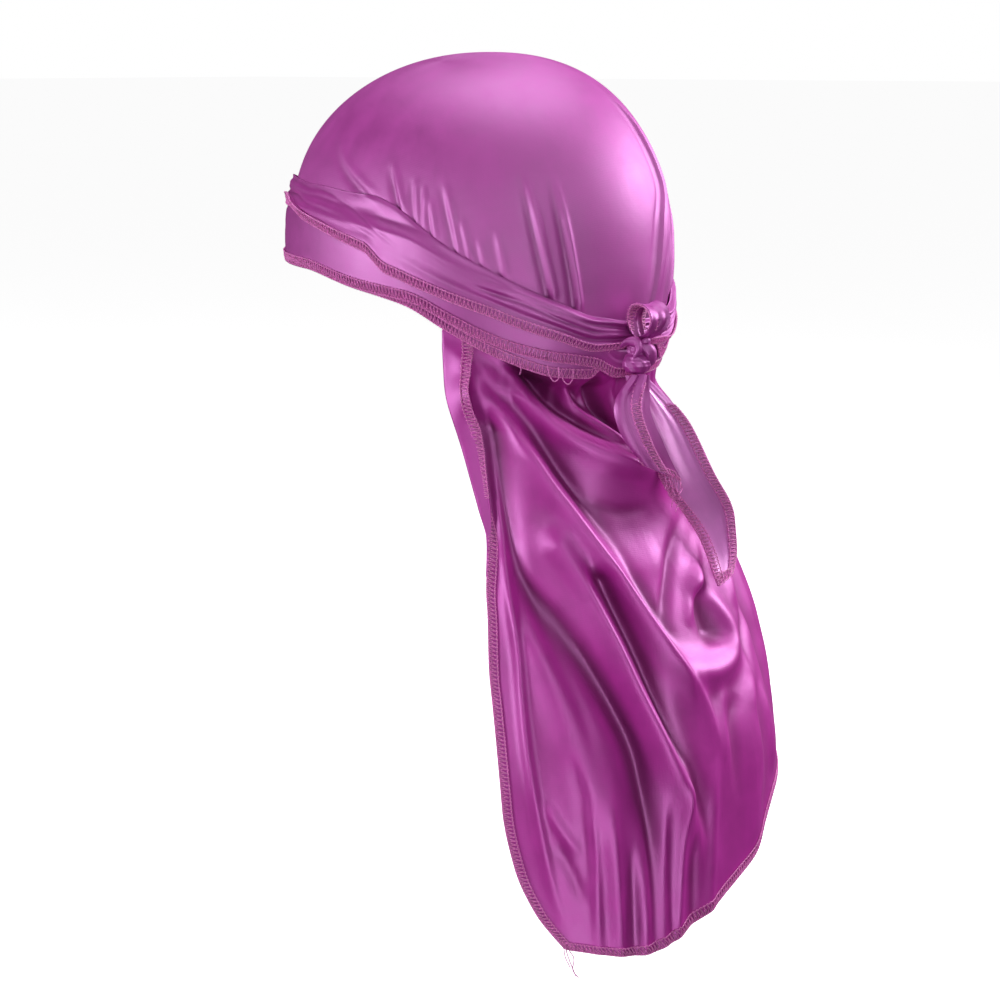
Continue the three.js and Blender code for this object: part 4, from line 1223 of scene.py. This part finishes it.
class DURAG_OT_threads(Operator):
    """Makes the loose thread ends at the seams, the hem's corner and the end of the short strap"""
    bl_idname = "durag.threads"
    bl_label = "Loose threads"

    def execute(self, context):
        sides = context.scene.durag_stitch.sides
        parts = []
        for line, radius in LOOSE_THREADS:
            parts.append(loose_thread(cape_section(*np.array(line, float).T), 40, radius, sides))
        tip = end_points("short")[0][-1, 12:]
        for start, drop, sway in FRAYED_ENDS:
            bends = (
                (0, 0, 0), (sway * 0.3, 0.8, -drop * 0.35), (-sway * 0.5, 0.5, -drop * 0.7),
                (sway, 0.9, -drop),
            )
            parts.append(loose_thread([tip[start] + bend for bend in bends], 30, 0.22, sides))
        make_piece("loose_threads", parts, material_for("overlock_thread"), [])
        return {"FINISHED"}


class DURAG_OT_stage(Operator):
    """Sets the pale floor, the soft studio lights and the camera"""
    bl_idname = "durag.stage"
    bl_label = "Floor, lights and camera"

    def execute(self, context):
        studio = context.scene.durag_studio
        size = 40.0
        mesh = bpy.data.meshes.new("studio_floor")
        corners = [(-size, -size), (size, -size), (size, size), (-size, size)]
        level = CAD_LOW[2] - 0.045
        mesh.from_pydata([(x, y, level) for x, y in corners], [], [(0, 1, 2, 3)])
        paper = bpy.data.materials.new("matt_white_paper")
        paper.use_nodes = True
        shader = paper.node_tree.nodes["Principled BSDF"]
        shader.inputs["Base Color"].default_value = (*studio.floor, 1)
        shader.inputs["Roughness"].default_value = 0.9
        shader.inputs["Emission Color"].default_value = (1, 1, 1, 1)
        shader.inputs["Emission Strength"].default_value = 0.9
        mesh.materials.append(paper)
        floor = bpy.data.objects.new("studio_floor", mesh)
        context.scene.collection.objects.link(floor)
        # The floor shows white, and the light that comes up from it is left to the room's.
        floor.visible_diffuse = floor.visible_glossy = False
        floor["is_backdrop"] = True
        world = bpy.data.worlds.new("studio_world")
        world.use_nodes = True
        tree = world.node_tree
        tree.nodes.clear()
        # The backdrop is white, and lights the cloth more softly than it looks.
        ambient = add_node(tree, "ShaderNodeBackground", Strength=studio.ambient)
        backdrop = add_node(tree, "ShaderNodeBackground", Strength=1.0)
        for node in (ambient, backdrop):
            node.inputs["Color"].default_value = (1, 1, 1, 1)
        path = add_node(tree, "ShaderNodeLightPath")
        mix = add_node(
            tree, "ShaderNodeMixShader",
            links={0: (path, "Is Camera Ray"), 1: (ambient, "Background"), 2: (backdrop, "Background")},
        )
        add_node(tree, "ShaderNodeOutputWorld", links={"Surface": (mix, "Shader")})
        context.scene.world = world
        context.scene.view_settings.view_transform = "Standard"
        back = Vector((math.cos(math.radians(40)), math.sin(math.radians(40)), 0))
        right = Vector((-math.sin(math.radians(40)), math.cos(math.radians(40)), 0))
        up = Vector((0, 0, 1))
        middle = Vector((0, 0.03, -0.05))
        for name, offset, power, width in (
            ("key_softbox", right * 1.12 + back * -0.33 + up * 0.52, studio.key, 0.6),
            ("side_softbox", right * -1.2 + back * 0.45 + up * 0.06, studio.side, 0.5),
            ("top_softbox", right * 0.1 + back * -0.1 + up * 1.25, studio.top, 1.1),
            ("front_softbox", right * 0.4 + back * 1.35 + up * 0.5, studio.front, 1.0),
            ("low_softbox", right * 0.1 + back * 1.05 + up * -0.45, studio.low, 0.6),
        ):
            light = bpy.data.lights.new(name, "AREA")
            light.shape = "SQUARE"
            light.size = width
            light.energy = power
            lamp = bpy.data.objects.new(name, light)
            lamp.location = middle + offset
            lamp.rotation_euler = (-offset).to_track_quat("-Z", "Y").to_euler()
            context.scene.collection.objects.link(lamp)
        data = bpy.data.cameras.new("photo_camera")
        data.lens = studio.lens
        data.sensor_width = 36
        data.clip_start, data.clip_end = 0.05, 100
        camera = bpy.data.objects.new("photo_camera", data)
        camera.location = (0.93660, 0.79015, 0.11807)
        yaw, pitch = math.radians(39.683), math.radians(9.700)
        view = -Vector((math.cos(yaw) * math.cos(pitch), math.sin(yaw) * math.cos(pitch), math.sin(pitch)))
        camera.rotation_euler = view.to_track_quat("-Z", "Y").to_euler()
        context.scene.collection.objects.link(camera)
        context.scene.camera = camera
        return {"FINISHED"}


class DURAG_PT_panel(Panel):
    """Durag panel in the sidebar"""
    bl_idname = "DURAG_PT_panel"
    bl_label = "Durag"
    bl_space_type = "VIEW_3D"
    bl_region_type = "UI"
    bl_category = "Durag"

    def draw(self, context):
        scene = context.scene
        for settings in (scene.durag_cloth, scene.durag_stitch, scene.durag_studio):
            box = self.layout.box()
            for key in settings.__annotations__:
                box.prop(settings, key)
        for step in STEPS:
            self.layout.operator(step.bl_idname)


SETTINGS = {
    "durag_cloth": DuragClothSettings,
    "durag_stitch": DuragStitchSettings,
    "durag_studio": DuragStudioSettings,
}
STEPS = (
    DURAG_OT_crown, DURAG_OT_cape, DURAG_OT_straps, DURAG_OT_knot, DURAG_OT_stitching, DURAG_OT_threads,
    DURAG_OT_stage,
)


def register():
    for kind in (*SETTINGS.values(), *STEPS, DURAG_PT_panel):
        bpy.utils.register_class(kind)
    for name, kind in SETTINGS.items():
        setattr(bpy.types.Scene, name, PointerProperty(type=kind))


def unregister():
    for name in SETTINGS:
        delattr(bpy.types.Scene, name)
    for kind in reversed((*SETTINGS.values(), *STEPS, DURAG_PT_panel)):
        bpy.utils.unregister_class(kind)


def main():
    register()
    for step in STEPS:
        family, name = step.bl_idname.split(".")
        getattr(getattr(bpy.ops, family), name)()
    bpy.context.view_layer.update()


if __name__ == "__main__":
    main()
